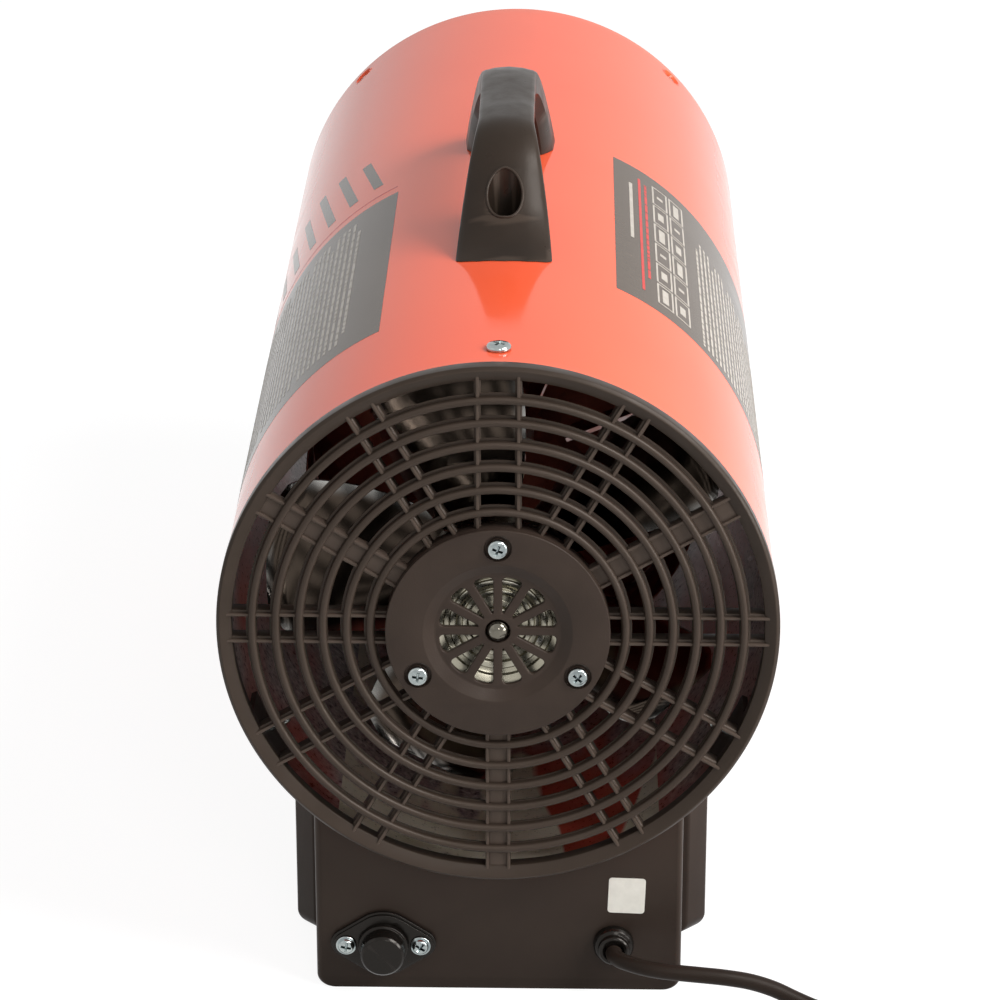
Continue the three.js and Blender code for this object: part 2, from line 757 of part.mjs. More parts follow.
function fanBlade(degrees) {
  const stations = 4;
  const across = 3;
  const rings = [];
  const root = FAN_HUB_RADIUS - 2;
  for (let i = 0; i <= stations; i += 1) {
    const share = i / stations;
    const radius = root + (FAN_RADIUS - root) * share;
    const pitch = radians(FAN_ROOT_PITCH + (FAN_TIP_PITCH - FAN_ROOT_PITCH) * share);
    const chord = FAN_ROOT_CHORD + (FAN_TIP_CHORD - FAN_ROOT_CHORD) * Math.sin(share * 1.9);
    const front = [];
    const back = [];
    for (let j = 0; j <= across; j += 1) {
      const u = j / across - 0.5;
      const bow = FAN_CAMBER * chord * (1 - 4 * u * u);
      const along = u * chord;
      const tangent = along * Math.cos(pitch) - bow * Math.sin(pitch);
      const axial = along * Math.sin(pitch) + bow * Math.cos(pitch);
      const swing = tangent / Math.max(radius, FAN_HUB_RADIUS + 8);
      const x = radius * Math.sin(swing);
      const z = radius * Math.cos(swing);
      front.push(new THREE.Vector3(x, axial - FAN_SHEET / 2, z));
      back.unshift(new THREE.Vector3(x, axial + FAN_SHEET / 2, z));
    }
    rings.push([...front, ...back]);
  }
  const middle = (FAN_HUB_REAR + FAN_HUB_FRONT) / 2;
  return turned(loft(rings).translate([0, middle, 0]), degrees);
}

function fan() {
  const hub = revolve(
    [
      [SHAFT_RADIUS + SEAT_GAP, FAN_HUB_REAR],
      [FAN_HUB_RADIUS - FAN_HUB_EDGE, FAN_HUB_REAR],
      [FAN_HUB_RADIUS, FAN_HUB_REAR + FAN_HUB_EDGE],
      [FAN_HUB_RADIUS, FAN_HUB_FRONT],
      [SHAFT_RADIUS + SEAT_GAP, FAN_HUB_FRONT],
    ],
    20,
  );
  const blades = [];
  for (let i = 0; i < FAN_BLADES; i += 1) {
    blades.push(fanBlade(FAN_START_ANGLE + (i * 360) / FAN_BLADES));
  }
  const reach = FAN_ROOT_CHORD;
  const bore = rod(SHAFT_RADIUS + SEAT_GAP, FAN_HUB_REAR - reach, FAN_HUB_FRONT + reach, 20);
  return unite([hub, ...blades]).subtract(bore);
}

function fanNut() {
  const rear = FAN_HUB_FRONT + SEAT_GAP;
  const body = rod(NUT_RADIUS, rear, rear + NUT_HEIGHT, 6);
  return body.subtract(rod(SHAFT_THREAD_RADIUS + SEAT_GAP, rear - 1, rear + NUT_HEIGHT + 1, 16));
}

// Combustion cylinder with the sheet tabs that hold it in the casing
function cylinderTab(degrees, rear, direction) {
  const half = TAB_WIDTH / 2;
  const foot = Math.sqrt((CASING_INNER - SEAT_GAP) ** 2 - half ** 2);
  const face = rear + direction * TAB_SHEET;
  const toe = rear + direction * TAB_FOOT;
  const [webFrom, webTo] = [Math.min(rear, face), Math.max(rear, face)];
  const [toeFrom, toeTo] = [Math.min(rear, toe), Math.max(rear, toe)];
  const low = CYLINDER_RADIUS - CYLINDER_WALL / 2;
  const web = block(-half, half, webFrom, webTo, low, foot);
  const plate = block(-half, half, toeFrom, toeTo, foot - TAB_SHEET, foot);
  return turned(web.add(plate), degrees);
}

function innerCylinder() {
  const inner = CYLINDER_RADIUS - CYLINDER_WALL;
  const tube = revolve(
    [
      [inner, CYLINDER_REAR],
      [CYLINDER_RADIUS, CYLINDER_REAR],
      [CYLINDER_RADIUS, CYLINDER_FRONT],
      [inner, CYLINDER_FRONT],
    ],
    36,
  );
  const parts = [tube];
  const holes = [];
  for (const degrees of TAB_ANGLES) {
    parts.push(cylinderTab(degrees, CYLINDER_FRONT, -1));
    const radius = M4_PAN.shank + HOLE_GAP;
    holes.push(radialHole(radius, CASING_INNER - 8, CASING_INNER + 1, tabScrewY(), degrees));
  }
  for (const degrees of REAR_TAB_ANGLES) {
    parts.push(cylinderTab(degrees, CYLINDER_REAR, 1));
  }
  return cut(unite(parts), holes);
}

// Burner: a dished plate with turned-up louvres, the jet, the spark electrode and the probe
function burnerPlate() {
  const rim = CYLINDER_RADIUS - CYLINDER_WALL - SEAT_GAP;
  const plate = revolve(
    [
      [JET_RADIUS + SEAT_GAP, BURNER_Y],
      [BURNER_DISH_RADIUS, BURNER_Y],
      [rim, BURNER_Y + BURNER_DISH_DEPTH],
      [rim, BURNER_Y + BURNER_SKIRT],
      [rim - BURNER_SHEET, BURNER_Y + BURNER_SKIRT],
      [rim - BURNER_SHEET, BURNER_Y + BURNER_DISH_DEPTH + BURNER_SHEET],
      [BURNER_DISH_RADIUS - BURNER_SHEET / 2, BURNER_Y + BURNER_SHEET],
      [JET_RADIUS + SEAT_GAP, BURNER_Y + BURNER_SHEET],
    ],
    20,
  );
  const slots = [];
  const vanes = [];
  const half = LOUVRE_WIDTH / 2;
  const outer = LOUVRE_OUTER_RADIUS;
  for (let i = 0; i < LOUVRE_COUNT; i += 1) {
    const degrees = ((i + 0.5) * 360) / LOUVRE_COUNT;
    const y0 = BURNER_Y - 1;
    const y1 = BURNER_Y + BURNER_SHEET + 1;
    slots.push(turned(block(-half, half, y0, y1, LOUVRE_INNER_RADIUS, outer), degrees));
    const tall = LOUVRE_WIDTH / Math.cos(radians(LOUVRE_TILT));
    const vane = block(0, tall, 0, BURNER_SHEET, LOUVRE_INNER_RADIUS - 0.5, outer + 0.5)
      .rotate([0, 0, LOUVRE_TILT])
      .translate([-half - 0.3, BURNER_Y + 0.2, 0]);
    vanes.push(turned(vane, degrees));
  }
  for (const degrees of PROBE_ANGLES) {
    const [x, z] = onCircle(PROBE_CIRCLE, degrees);
    const radius = ELECTRODE_RADIUS + SEAT_GAP;
    slots.push(rod(radius, BURNER_Y - 1, BURNER_Y + BURNER_SHEET + 1, 8).translate([x, 0, z]));
  }
  return unite([cut(plate, slots), ...vanes]);
}

function gasJet() {
  const rear = BURNER_Y - JET_LENGTH / 2;
  const front = BURNER_Y + JET_LENGTH / 2;
  return revolve(
    [
      [0, rear],
      [JET_RADIUS, rear],
      [JET_RADIUS, front - JET_NOSE],
      [JET_RADIUS - 3, front],
      [0, front],
    ],
    16,
  );
}

function sparkElectrode() {
  const [x, z] = onCircle(PROBE_CIRCLE, PROBE_ANGLES[0]);
  const rear = BURNER_Y - ELECTRODE_BACK;
  const front = BURNER_Y + ELECTRODE_FRONT;
  return revolve(
    [
      [0, rear],
      [ELECTRODE_RADIUS, rear],
      [ELECTRODE_RADIUS, front],
      [ELECTRODE_WIRE_RADIUS, front + 1],
      [ELECTRODE_WIRE_RADIUS, front + ELECTRODE_WIRE_LENGTH],
      [0, front + ELECTRODE_WIRE_LENGTH],
    ],
    12,
  ).translate([x, 0, z]);
}

function thermocouple() {
  const [x, z] = onCircle(PROBE_CIRCLE, PROBE_ANGLES[1]);
  const rear = BURNER_Y - THERMOCOUPLE_BACK;
  const collar = BURNER_Y + BURNER_SHEET + 3;
  const front = BURNER_Y + THERMOCOUPLE_FRONT;
  return revolve(
    [
      [0, rear],
      [ELECTRODE_RADIUS, rear],
      [ELECTRODE_RADIUS, collar],
      [THERMOCOUPLE_RADIUS, collar + 1],
      [THERMOCOUPLE_RADIUS, front - 2],
      [THERMOCOUPLE_RADIUS - 1, front],
      [0, front],
    ],
    12,
  ).translate([x, 0, z]);
}

// Path of straight runs joined by round bends, each with its own reach from the corner.
function bentPath(corners, bends) {
  const path = new THREE.CurvePath();
  let start = corners[0];
  for (let i = 1; i + 1 < corners.length; i += 1) {
    const corner = corners[i];
    const bend = bends[i - 1];
    const before = corner.clone().lerp(corners[i - 1], bend / corner.distanceTo(corners[i - 1]));
    const after = corner.clone().lerp(corners[i + 1], bend / corner.distanceTo(corners[i + 1]));
    path.add(new THREE.LineCurve3(start, before));
    path.add(new THREE.QuadraticBezierCurve3(before, corner, after));
    start = after;
  }
  path.add(new THREE.LineCurve3(start, corners[corners.length - 1]));
  return path;
}

function tube(path, radius, steps, sides) {
  const shape = new THREE.Shape();
  for (let i = 0; i < sides; i += 1) {
    const angle = (2 * Math.PI * i) / sides;
    const x = radius * Math.cos(angle);
    const y = radius * Math.sin(angle);
    if (i === 0) {
      shape.moveTo(x, y);
    } else {
      shape.lineTo(x, y);
    }
  }
  shape.closePath();
  const options = { steps, extrudePath: path, bevelEnabled: false };
  return toSolid(new THREE.ExtrudeGeometry(shape, options));
}

function gasTube() {
  const corners = [
    new THREE.Vector3(valveX() + VALVE_BODY_DEPTH / 2 + SEAT_GAP, VALVE_Y, CONTROL_Z),
    new THREE.Vector3(0, VALVE_Y, CONTROL_Z),
    new THREE.Vector3(0, PASSAGE_Y, CONTROL_Z),
    new THREE.Vector3(0, PASSAGE_Y, 0),
    new THREE.Vector3(0, BURNER_Y - JET_LENGTH / 2 - SEAT_GAP, 0),
  ];
  const bends = [GAS_TUBE_BEND, GAS_TUBE_BEND, GAS_TUBE_BEND];
  return tube(bentPath(corners, bends), GAS_TUBE_RADIUS, 22, 6);
}

// Handle: an arch with a sloping rear leg and a rounder front one. It is narrow at the grip and
// flares towards its feet, which are cut to the casing.
function handlePath() {
  const rear = HANDLE_REAR + HANDLE_REAR_INSET;
  const front = HANDLE_REAR + HANDLE_LENGTH - HANDLE_FRONT_INSET;
  const root = CASING_RADIUS - HANDLE_ROOT;
  const grip = HANDLE_TOP - HANDLE_GRIP_THICKNESS / 2;
  const corners = [
    new THREE.Vector3(0, rear, root),
    new THREE.Vector3(0, rear + HANDLE_REAR_RUN, grip),
    new THREE.Vector3(0, front - HANDLE_FRONT_RUN, grip),
    new THREE.Vector3(0, front, root),
  ];
  return bentPath(corners, [HANDLE_REAR_BEND, HANDLE_FRONT_BEND]);
}

// Section across the handle: a crowned outer face with crisp edges, upright sides and an
// inner face with broad edges.
function handleSection(half, thick) {
  const right = [
    [half * HANDLE_CROWN_FLAT, thick],
    [half, thick - HANDLE_CROWN],
    [half, HANDLE_INNER_EDGE - thick],
    [half - HANDLE_INNER_EDGE, -thick],
  ];
  const left = right.map(([x, up]) => [-x, up]).reverse();
  return [...right, ...left];
}

function handle() {
  const path = handlePath();
  const steps = 20;
  const rings = [];
  for (let i = 0; i <= steps; i += 1) {
    const centre = path.getPoint(i / steps);
    const tangent = path.getTangent(i / steps);
    const normal = new THREE.Vector3(0, -tangent.z, tangent.y);
    const outerHeight = centre.z + (normal.z * HANDLE_GRIP_THICKNESS) / 2;
    const drop = THREE.MathUtils.clamp((HANDLE_TOP - outerHeight) / HANDLE_RISE, 0, 1);
    const half = THREE.MathUtils.lerp(HANDLE_GRIP_WIDTH, HANDLE_FOOT_WIDTH, drop ** HANDLE_FLARE) / 2;
    const thick = THREE.MathUtils.lerp(HANDLE_GRIP_THICKNESS, HANDLE_LEG_THICKNESS, drop) / 2;
    const ring = handleSection(half, thick).map(([across, up]) =>
      centre.clone().addScaledVector(normal, up).add(new THREE.Vector3(across, 0, 0)),
    );
    rings.push(ring);
  }
  const spare = HANDLE_LEG_THICKNESS;
  const front = HANDLE_REAR + HANDLE_LENGTH;
  const cuts = [rod(SADDLE_RADIUS, HANDLE_REAR - spare, front + spare, CASING_SEGMENTS)];
  for (const y of handleScrewYs()) {
    const pocketFloor = CASING_RADIUS + HANDLE_POCKET_FLOOR;
    const top = HANDLE_TOP + HANDLE_CROWN;
    cuts.push(radialHole(HANDLE_POCKET_RADIUS, pocketFloor, top, y, 90, 16));
    cuts.push(radialHole(M5_PAN.shank + HOLE_GAP, CASING_INNER, top, y, 90));
  }
  return cut(loft(rings), cuts);
}

// Base housing: a wide stand with a narrower connection box at its rear end
function basePlan(halfWidth, y0, y1, edge) {
  return roundedRectangle(-halfWidth, halfWidth, y0, y1, [edge, edge, edge, edge]);
}

function baseBlock(halfWidth, y0, y1) {
  const corner = BASE_CORNER;
  const front = roundedRectangle(-halfWidth, halfWidth, FLOOR, 0, [corner, corner, 0, 0]);
  const body = extrudeY(front, y0, y1, 4);
  const edges = extrudeZ(basePlan(halfWidth, y0, y1, BASE_EDGE), FLOOR - 1, 1, 2);
  return body.intersect(edges).subtract(rod(SADDLE_RADIUS, y0 - 1, y1 + 1, CASING_SEGMENTS));
}

// Inside of the housing, with square edges that leave at least the wall round the outer ones.
function baseHollow(halfWidth, y0, y1) {
  const inset = BASE_WALL;
  const half = halfWidth - inset;
  const corner = BASE_CORNER - inset;
  const front = roundedRectangle(-half, half, FLOOR + BASE_FLOOR, 0, [corner, corner, 0, 0]);
  const body = extrudeY(front, y0 + inset, y1 - inset, 2);
  return body.subtract(rod(SADDLE_RADIUS + inset, y0 - 1, y1 + 1, CASING_SEGMENTS));
}

function saddleBoss([y, degrees]) {
  const from = SADDLE_RADIUS + BASE_WALL / 6;
  return radialHole(SADDLE_BOSS_RADIUS, from, from + SADDLE_BOSS_LENGTH, y, degrees, 8);
}

function baseHousing() {
  const wide = BASE_WIDTH / 2;
  const narrow = PANEL_WIDTH / 2;
  const inset = BASE_WALL;
  const outer = baseBlock(wide, BASE_REAR, BASE_FRONT);
  const box = baseBlock(narrow, PANEL_REAR, BASE_REAR + 2 * BASE_EDGE);
  const plateHalf = wide - BOTTOM_PLATE_RIM;
  const plateRear = BASE_REAR + BOTTOM_PLATE_RIM;
  const plateFront = BASE_FRONT - BOTTOM_PLATE_RIM;
  const lip = BOTTOM_PLATE_LIP;
  const hatch = block(
    -plateHalf + lip,
    plateHalf - lip,
    plateRear + lip,
    plateFront - lip,
    FLOOR - 1,
    FLOOR + BASE_FLOOR + 1,
  );
  const recess = block(-plateHalf, plateHalf, plateRear, plateFront, FLOOR - 1, plateLip());
  const cuts = [
    baseHollow(narrow, PANEL_REAR, BASE_REAR + 3 * BASE_EDGE),
    baseHollow(wide, BASE_REAR, BASE_FRONT),
    hatch,
    recess,
    radialHole(PASSAGE_RADIUS, CASING_RADIUS, SADDLE_RADIUS + 2 * inset, PASSAGE_Y, 270, 16),
    panelHole(NIPPLE_RADIUS + SEAT_GAP, INLET_X, INLET_Z, 16),
    panelHole(GLAND_SHANK_RADIUS + SEAT_GAP, GLAND_X, GLAND_Z, 16),
  ];
  for (const side of [-1, 1]) {
    const x = INLET_X + side * FLANGE_SCREW_OFFSET;
    cuts.push(panelHole(M4_PAN.shank + HOLE_GAP, x, INLET_Z, 8));
  }
  cuts.push(wallHole(VALVE_BUTTON_RADIUS + SLEEVE_WALL + SEAT_GAP, VALVE_Y));
  cuts.push(wallHole(IGNITER_BUTTON_RADIUS + SLEEVE_WALL + SEAT_GAP, IGNITER_Y));
  const bosses = [];
  for (const place of saddleScrewPlaces()) {
    bosses.push(saddleBoss(place));
    const bossEnd = SADDLE_RADIUS + BASE_WALL + SADDLE_BOSS_LENGTH;
    cuts.push(radialHole(M5_PAN.shank + HOLE_GAP, SADDLE_RADIUS - 1, bossEnd, ...place));
  }
  for (const [x, y] of plateScrewPlaces()) {
    const radius = M4_FLAT.shank + HOLE_GAP;
    const drill = rod(radius, -1, 2 * BASE_FLOOR, 8).rotate([90, 0, 0]);
    cuts.push(drill.translate([x, y, FLOOR]));
  }
  const shell = outer.add(box);
  const hollowed = cut(shell, cuts.slice(0, 2));
  return cut(unite([hollowed, ...bosses]), cuts.slice(2));
}

// Under side of the bottom plate, and the lip of the housing above it
function plateUnderside() {
  return FLOOR + PLATE_SCREW_RAISE + M4_FLAT.height + SEAT_GAP;
}

function plateLip() {
  return plateUnderside() + BOTTOM_PLATE_SHEET + SEAT_GAP;
}

// Hole through the rear panel of the connection box.
function panelHole(radius, x, z, segments) {
  const drill = rod(radius, PANEL_REAR - 1, PANEL_REAR + BASE_WALL + 2, segments);
  return drill.translate([x, 0, z]);
}

// Hole through the left wall.
function wallHole(radius, y) {
  const drill = rod(radius, -BASE_WALL - 2, BASE_WALL + 2, 16).rotate([0, 0, 90]);
  return drill.translate([BASE_LEFT, y, CONTROL_Z]);
}

function plateScrewPlaces() {
  const x = BASE_WIDTH / 2 - BOTTOM_PLATE_RIM - BOTTOM_PLATE_LIP / 2;
  const rear = BASE_REAR + BOTTOM_PLATE_RIM + PLATE_SCREW_INSET;
  const front = BASE_FRONT - BOTTOM_PLATE_RIM - PLATE_SCREW_INSET;
  return [
    [-x, rear],
    [x, rear],
    [-x, front],
    [x, front],
  ];
}

// Gas inlet: lozenge flange, threaded nipple and its push-on cap
function lozenge(radius, endRadius) {
  const lean = Math.asin((radius - endRadius) / FLANGE_SCREW_OFFSET);
  const shape = new THREE.Shape();
  shape.absarc(0, 0, radius, Math.PI / 2 - lean, Math.PI / 2 + lean, false);
  shape.absarc(-FLANGE_SCREW_OFFSET, 0, endRadius, Math.PI / 2 + lean, 1.5 * Math.PI - lean, false);
  shape.absarc(0, 0, radius, 1.5 * Math.PI - lean, 1.5 * Math.PI + lean, false);
  shape.absarc(FLANGE_SCREW_OFFSET, 0, endRadius, -Math.PI / 2 + lean, Math.PI / 2 - lean, false);
  return shape;
}

function inletFlange() {
  const back = PANEL_REAR - SEAT_GAP;
  const front = back - FLANGE_THICKNESS;
  const inset = FLANGE_STEP_INSET;
  const lower = extrudeY(lozenge(FLANGE_RADIUS, FLANGE_END_RADIUS), front + FLANGE_STEP, back, 3);
  const raised = lozenge(FLANGE_RADIUS - inset, FLANGE_END_RADIUS - inset);
  const upper = extrudeY(raised, front, back - FLANGE_STEP / 10, 3);
  const holes = [rod(NIPPLE_RADIUS + SEAT_GAP, front - 1, back + 1, 16)];
  for (const side of [-1, 1]) {
    const hole = rod(M4_PAN.shank + HOLE_GAP, front - 1, back + 1, 8);
    holes.push(hole.translate([side * FLANGE_SCREW_OFFSET, 0, 0]));
  }
  return cut(lower.add(upper), holes).translate([INLET_X, 0, INLET_Z]);
}

function flangeFront() {
  return PANEL_REAR - SEAT_GAP - FLANGE_THICKNESS;
}

function inletNipple() {
  const tip = flangeFront() - NIPPLE_LENGTH;
  const inner = PANEL_REAR + BASE_WALL + SEAT_GAP;
  return revolve(
    [
      [NIPPLE_BORE, tip],
      [NIPPLE_RADIUS - 1, tip],
      [NIPPLE_RADIUS, tip + 1],
      [NIPPLE_RADIUS, inner],
      [NIPPLE_RADIUS + NIPPLE_NUT_RIM, inner],
      [NIPPLE_RADIUS + NIPPLE_NUT_RIM, inner + NIPPLE_NUT_HEIGHT],
      [GAS_TUBE_RADIUS + 1.5, inner + NIPPLE_NUT_HEIGHT],
      [GAS_TUBE_RADIUS + 1.5, inner + NIPPLE_SHANK],
      [NIPPLE_BORE, inner + NIPPLE_SHANK],
    ],
    12,
  ).translate([INLET_X, 0, INLET_Z]);
}

function inletCap() {
  const back = flangeFront() - SEAT_GAP;
  const front = flangeFront() - NIPPLE_LENGTH - SEAT_GAP - CAP_TOP;
  const collar = back - CAP_COLLAR_LENGTH;
  const bore = NIPPLE_RADIUS + SEAT_GAP;
  return revolve(
    [
      [0, front],
      [CAP_RADIUS - 0.6, front],
      [CAP_RADIUS, front + 0.6],
      [CAP_RADIUS, collar],
      [CAP_COLLAR_RADIUS, collar + 0.6],
      [CAP_COLLAR_RADIUS, back],
      [bore, back],
      [bore, front + CAP_TOP],
      [0, front + CAP_TOP],
    ],
    16,
  ).translate([INLET_X, 0, INLET_Z]);
}

// Supply tube from the inlet nipple to the valve, inside the base
function supplyTube() {
  const start = PANEL_REAR + BASE_WALL + SEAT_GAP + NIPPLE_SHANK + SEAT_GAP;
  const end = VALVE_Y - VALVE_BODY_WIDTH / 2 - SEAT_GAP;
  const corners = [
    new THREE.Vector3(INLET_X, start, INLET_Z),
    new THREE.Vector3(INLET_X, start + SUPPLY_TUBE_STRAIGHT, INLET_Z),
    new THREE.Vector3(valveX(), start + SUPPLY_TUBE_STRAIGHT + SUPPLY_TUBE_SLANT, CONTROL_Z),
    new THREE.Vector3(valveX(), end, CONTROL_Z),
  ];
  return tube(bentPath(corners, [SUPPLY_TUBE_BEND, SUPPLY_TUBE_BEND]), GAS_TUBE_RADIUS, 14, 6);
}

function valveX() {
  return BASE_LEFT + mechanismDepth(VALVE_TRAVEL) + VALVE_BODY_DEPTH / 2;
}

// Along -X, standing on the left wall at the given place.
function onLeftWall(solid, y) {
  return solid.rotate([0, 0, 90]).translate([BASE_LEFT, y, CONTROL_Z]);
}

// Flanged sleeve that carries a button in the wall: local y runs out of the wall.
function sleeve(buttonRadius, depth) {
  const inner = buttonRadius + RUNNING_GAP;
  const outer = buttonRadius + SLEEVE_WALL;
  return revolve(
    [
      [inner, -depth],
      [outer, -depth],
      [outer, SEAT_GAP],
      [outer + BEZEL_LIP, SEAT_GAP],
      [outer + BEZEL_LIP - 0.6, SEAT_GAP + BEZEL_THICKNESS],
      [inner, SEAT_GAP + BEZEL_THICKNESS],
    ],
    14,
  );
}

function button(radius, length, reach) {
  return revolve(
    [
      [0, -reach],
      [BUTTON_STEM_RADIUS, -reach],
      [BUTTON_STEM_RADIUS, -1],
      [radius, -1],
      [radius, length - 1],
      [radius - 1, length],
      [0, length],
    ],
    14,
  );
}

// Depth behind the wall's outer face at which a button's mechanism begins.
function mechanismDepth(travel) {
  return BASE_WALL + BEZEL_THICKNESS + travel;
}

function valveBody() {
  const halfY = VALVE_BODY_WIDTH / 2;
  const halfX = VALVE_BODY_DEPTH / 2;
  const halfZ = VALVE_BODY_HEIGHT / 2;
  const x = valveX();
  const body = block(
    x - halfX,
    x + halfX,
    VALVE_Y - halfY,
    VALVE_Y + halfY,
    CONTROL_Z - halfZ,
    CONTROL_Z + halfZ,
  );
  const socket = rod(BUTTON_STEM_RADIUS + RUNNING_GAP, -1, STEM_SOCKET_DEPTH, 16)
    .rotate([0, 0, -90])
    .translate([x - halfX, VALVE_Y, CONTROL_Z]);
  return body.subtract(socket);
}

function igniterBody() {
  const depth = mechanismDepth(IGNITER_TRAVEL);
  const stem = BUTTON_STEM_RADIUS + RUNNING_GAP;
  const body = revolve(
    [
      [stem, -depth],
      [IGNITER_BODY_RADIUS, -depth],
      [IGNITER_BODY_RADIUS, -depth - IGNITER_BODY_LENGTH],
      [0, -depth - IGNITER_BODY_LENGTH],
      [0, -depth - STEM_SOCKET_DEPTH],
      [stem, -depth - STEM_SOCKET_DEPTH],
    ],
    12,
  );
  return onLeftWall(body, IGNITER_Y);
}

// Power cord
function cordPath() {
  const points = [
    [GLAND_X, PANEL_REAR - GLAND_LENGTH - SEAT_GAP, GLAND_Z],
    [45.5, 4.6, GLAND_Z],
    [47.6, 1.4, GLAND_Z],
    [51.4, -1.6, GLAND_Z + 0.1],
    [56.4, -4.2, GLAND_Z],
    [62.6, -6, GLAND_Z - 0.3],
    [70.5, -6.8, GLAND_Z - 0.8],
    [80, -6.7, GLAND_Z - 1.8],
    [89, -6, GLAND_Z - 3.2],
    [98.5, -4.8, GLAND_Z - 5.6],
    [107.5, -3.9, GLAND_Z - 9.2],
    [116, -4.2, GLAND_Z - 13.4],
    [124.5, -6, GLAND_Z - 16.4],
    [134, -9, cordFloor()],
    [150, -13.8, cordFloor()],
    [168, -19.6, cordFloor()],
    ...straightIntoCoil(16),
  ];
  return new THREE.CatmullRomCurve3(points.map((point) => new THREE.Vector3(...point)));
}

function cordFloor() {
  return FLOOR + CORD_RADIUS + CORD_FLOOR_GAP;
}

function coilAngle(turn) {
  return radians(COIL_START_ANGLE) - 2 * Math.PI * turn;
}

// Way that the cord runs at a turn of the coil.
function coilHeading(turn) {
  const angle = coilAngle(turn);
  return new THREE.Vector3(Math.sin(angle), -Math.cos(angle), 0);
}

function coilPoint(turn) {
  const half = COIL_TURNS / 2;
  const radius = COIL_OUTER_RADIUS - COIL_PITCH * Math.min(turn, COIL_TURNS - turn);
  const climb = THREE.MathUtils.smoothstep(turn, half - 0.25, half + 0.25);
  return new THREE.Vector3(
    COIL_CENTRE[0] + radius * Math.cos(coilAngle(turn)),
    COIL_CENTRE[1] + radius * Math.sin(coilAngle(turn)),
    cordFloor() + COIL_LAYER_RISE * climb,
  );
}

// Last points of the free stretch, in line with the straight end of the coil.
function straightIntoCoil(length) {
  const stop = 2 * CORD_RADIUS + SEAT_GAP;
  return [length, 0].map((back) => coilPoint(0).addScaledVector(coilHeading(0), -stop - back).toArray());
}

function coilPoints() {
  const count = Math.ceil(COIL_TURNS * COIL_STEPS);
  const straight = 2 * CORD_RADIUS;
  const points = [coilPoint(0).addScaledVector(coilHeading(0), -straight)];
  for (let i = 0; i <= count; i += 1) {
    points.push(coilPoint((i * COIL_TURNS) / count));
  }
  points.push(coilPoint(COIL_TURNS).addScaledVector(coilHeading(COIL_TURNS), straight));
  return points;
}

// Least gap between turns of the coil, measured between points more than half a turn apart.
function coilGap(points) {
  let least = Infinity;
  for (let i = 0; i < points.length; i += 1) {
    for (let j = i + COIL_STEPS / 2; j < points.length; j += 1) {
      least = Math.min(least, points[i].distanceTo(points[j]));
    }
  }
  return least - 2 * CORD_RADIUS;
}

function cordCoil() {
  const points = coilPoints();
  console.log(`least gap between the turns of the coil: ${coilGap(points).toFixed(2)} mm`);
  const up = new THREE.Vector3(0, 0, 1);
  const rings = points.map((point, i) => {
    const before = points[Math.max(i - 1, 0)];
    const after = points[Math.min(i + 1, points.length - 1)];
    const along = after.clone().sub(before).setZ(0).normalize();
    const side = along.clone().cross(up);
    const ring = [];
    for (let corner = 0; corner < COIL_SIDES; corner += 1) {
      const angle = (2 * Math.PI * corner) / COIL_SIDES;
      ring.push(
        point
          .clone()
          .addScaledVector(side, CORD_RADIUS * Math.cos(angle))
          .addScaledVector(up, CORD_RADIUS * Math.sin(angle)),
      );
    }
    return ring;
  });
  return loft(rings);
}

function powerCord() {
  return tube(cordPath(), CORD_RADIUS, 20, CORD_SIDES);
}

// Short lead from the top layer of the coil to the plug
function leadPoint(distance, z) {
  const start = coilPoint(COIL_TURNS);
  const along = 2 * CORD_RADIUS + SEAT_GAP + distance;
  return start.addScaledVector(coilHeading(COIL_TURNS), along).setZ(z);
}

function plugHeight() {
  return FLOOR + PLUG_RADIUS + CORD_FLOOR_GAP;
}

function plugLead() {
  const low = coilPoint(COIL_TURNS).z;
  const path = new THREE.CatmullRomCurve3(
    [
      [0, 0],
      [0.12, 0.01],
      [0.35, 0.2],
      [0.65, 0.8],
      [0.88, 0.99],
      [1, 1],
    ].map(([share, rise]) => leadPoint(LEAD_LENGTH * share, THREE.MathUtils.lerp(low, plugHeight(), rise))),
  );
  return tube(path, CORD_RADIUS, 8, CORD_SIDES);
}

// Plug drawn along +Y from the tip of its strain relief, then laid out along the lead.
function layPlug(solid) {
  const { x, y } = coilHeading(COIL_TURNS);
  const degrees = THREE.MathUtils.radToDeg(Math.atan2(y, x)) - 90;
  const tip = leadPoint(LEAD_LENGTH + SEAT_GAP, plugHeight());
  return solid.rotate([0, 0, degrees]).translate(tip.toArray());
}

function plugBody() {
  const face = RELIEF_LENGTH + PLUG_LENGTH;
  const body = revolve(
    [
      [0, 0],
      [RELIEF_TIP_RADIUS, 0],
      [PLUG_NECK_RADIUS - 1.5, RELIEF_LENGTH],
      [PLUG_NECK_RADIUS + 1, RELIEF_LENGTH + 1],
      [PLUG_RADIUS - 4, RELIEF_LENGTH + PLUG_SHOULDER_LENGTH],
      [PLUG_RADIUS - 1, face - PLUG_FACE_LENGTH],
      [PLUG_RADIUS, face - PLUG_FACE_LENGTH + 3],
      [PLUG_RADIUS, face - 1],
      [PLUG_RADIUS - 1, face],
      [0, face],
    ],
    16,
  );
  const grooves = [-1, 1].map((side) => {
    const low = side * (PLUG_RADIUS - PLUG_GROOVE_DEPTH);
    const high = side * (PLUG_RADIUS + 2);
    const [z0, z1] = [Math.min(low, high), Math.max(low, high)];
    const half = PLUG_GROOVE_WIDTH / 2;
    return block(-half, half, face - PLUG_FACE_LENGTH, face + 1, z0, z1);
  });
  const sockets = pinPlaces().map((x) =>
    rod(PIN_RADIUS + SEAT_GAP, face - PIN_SOCKET_DEPTH, face + 1, 12).translate([x, 0, 0]),
  );
  return layPlug(cut(body, [...grooves, ...sockets]));
}

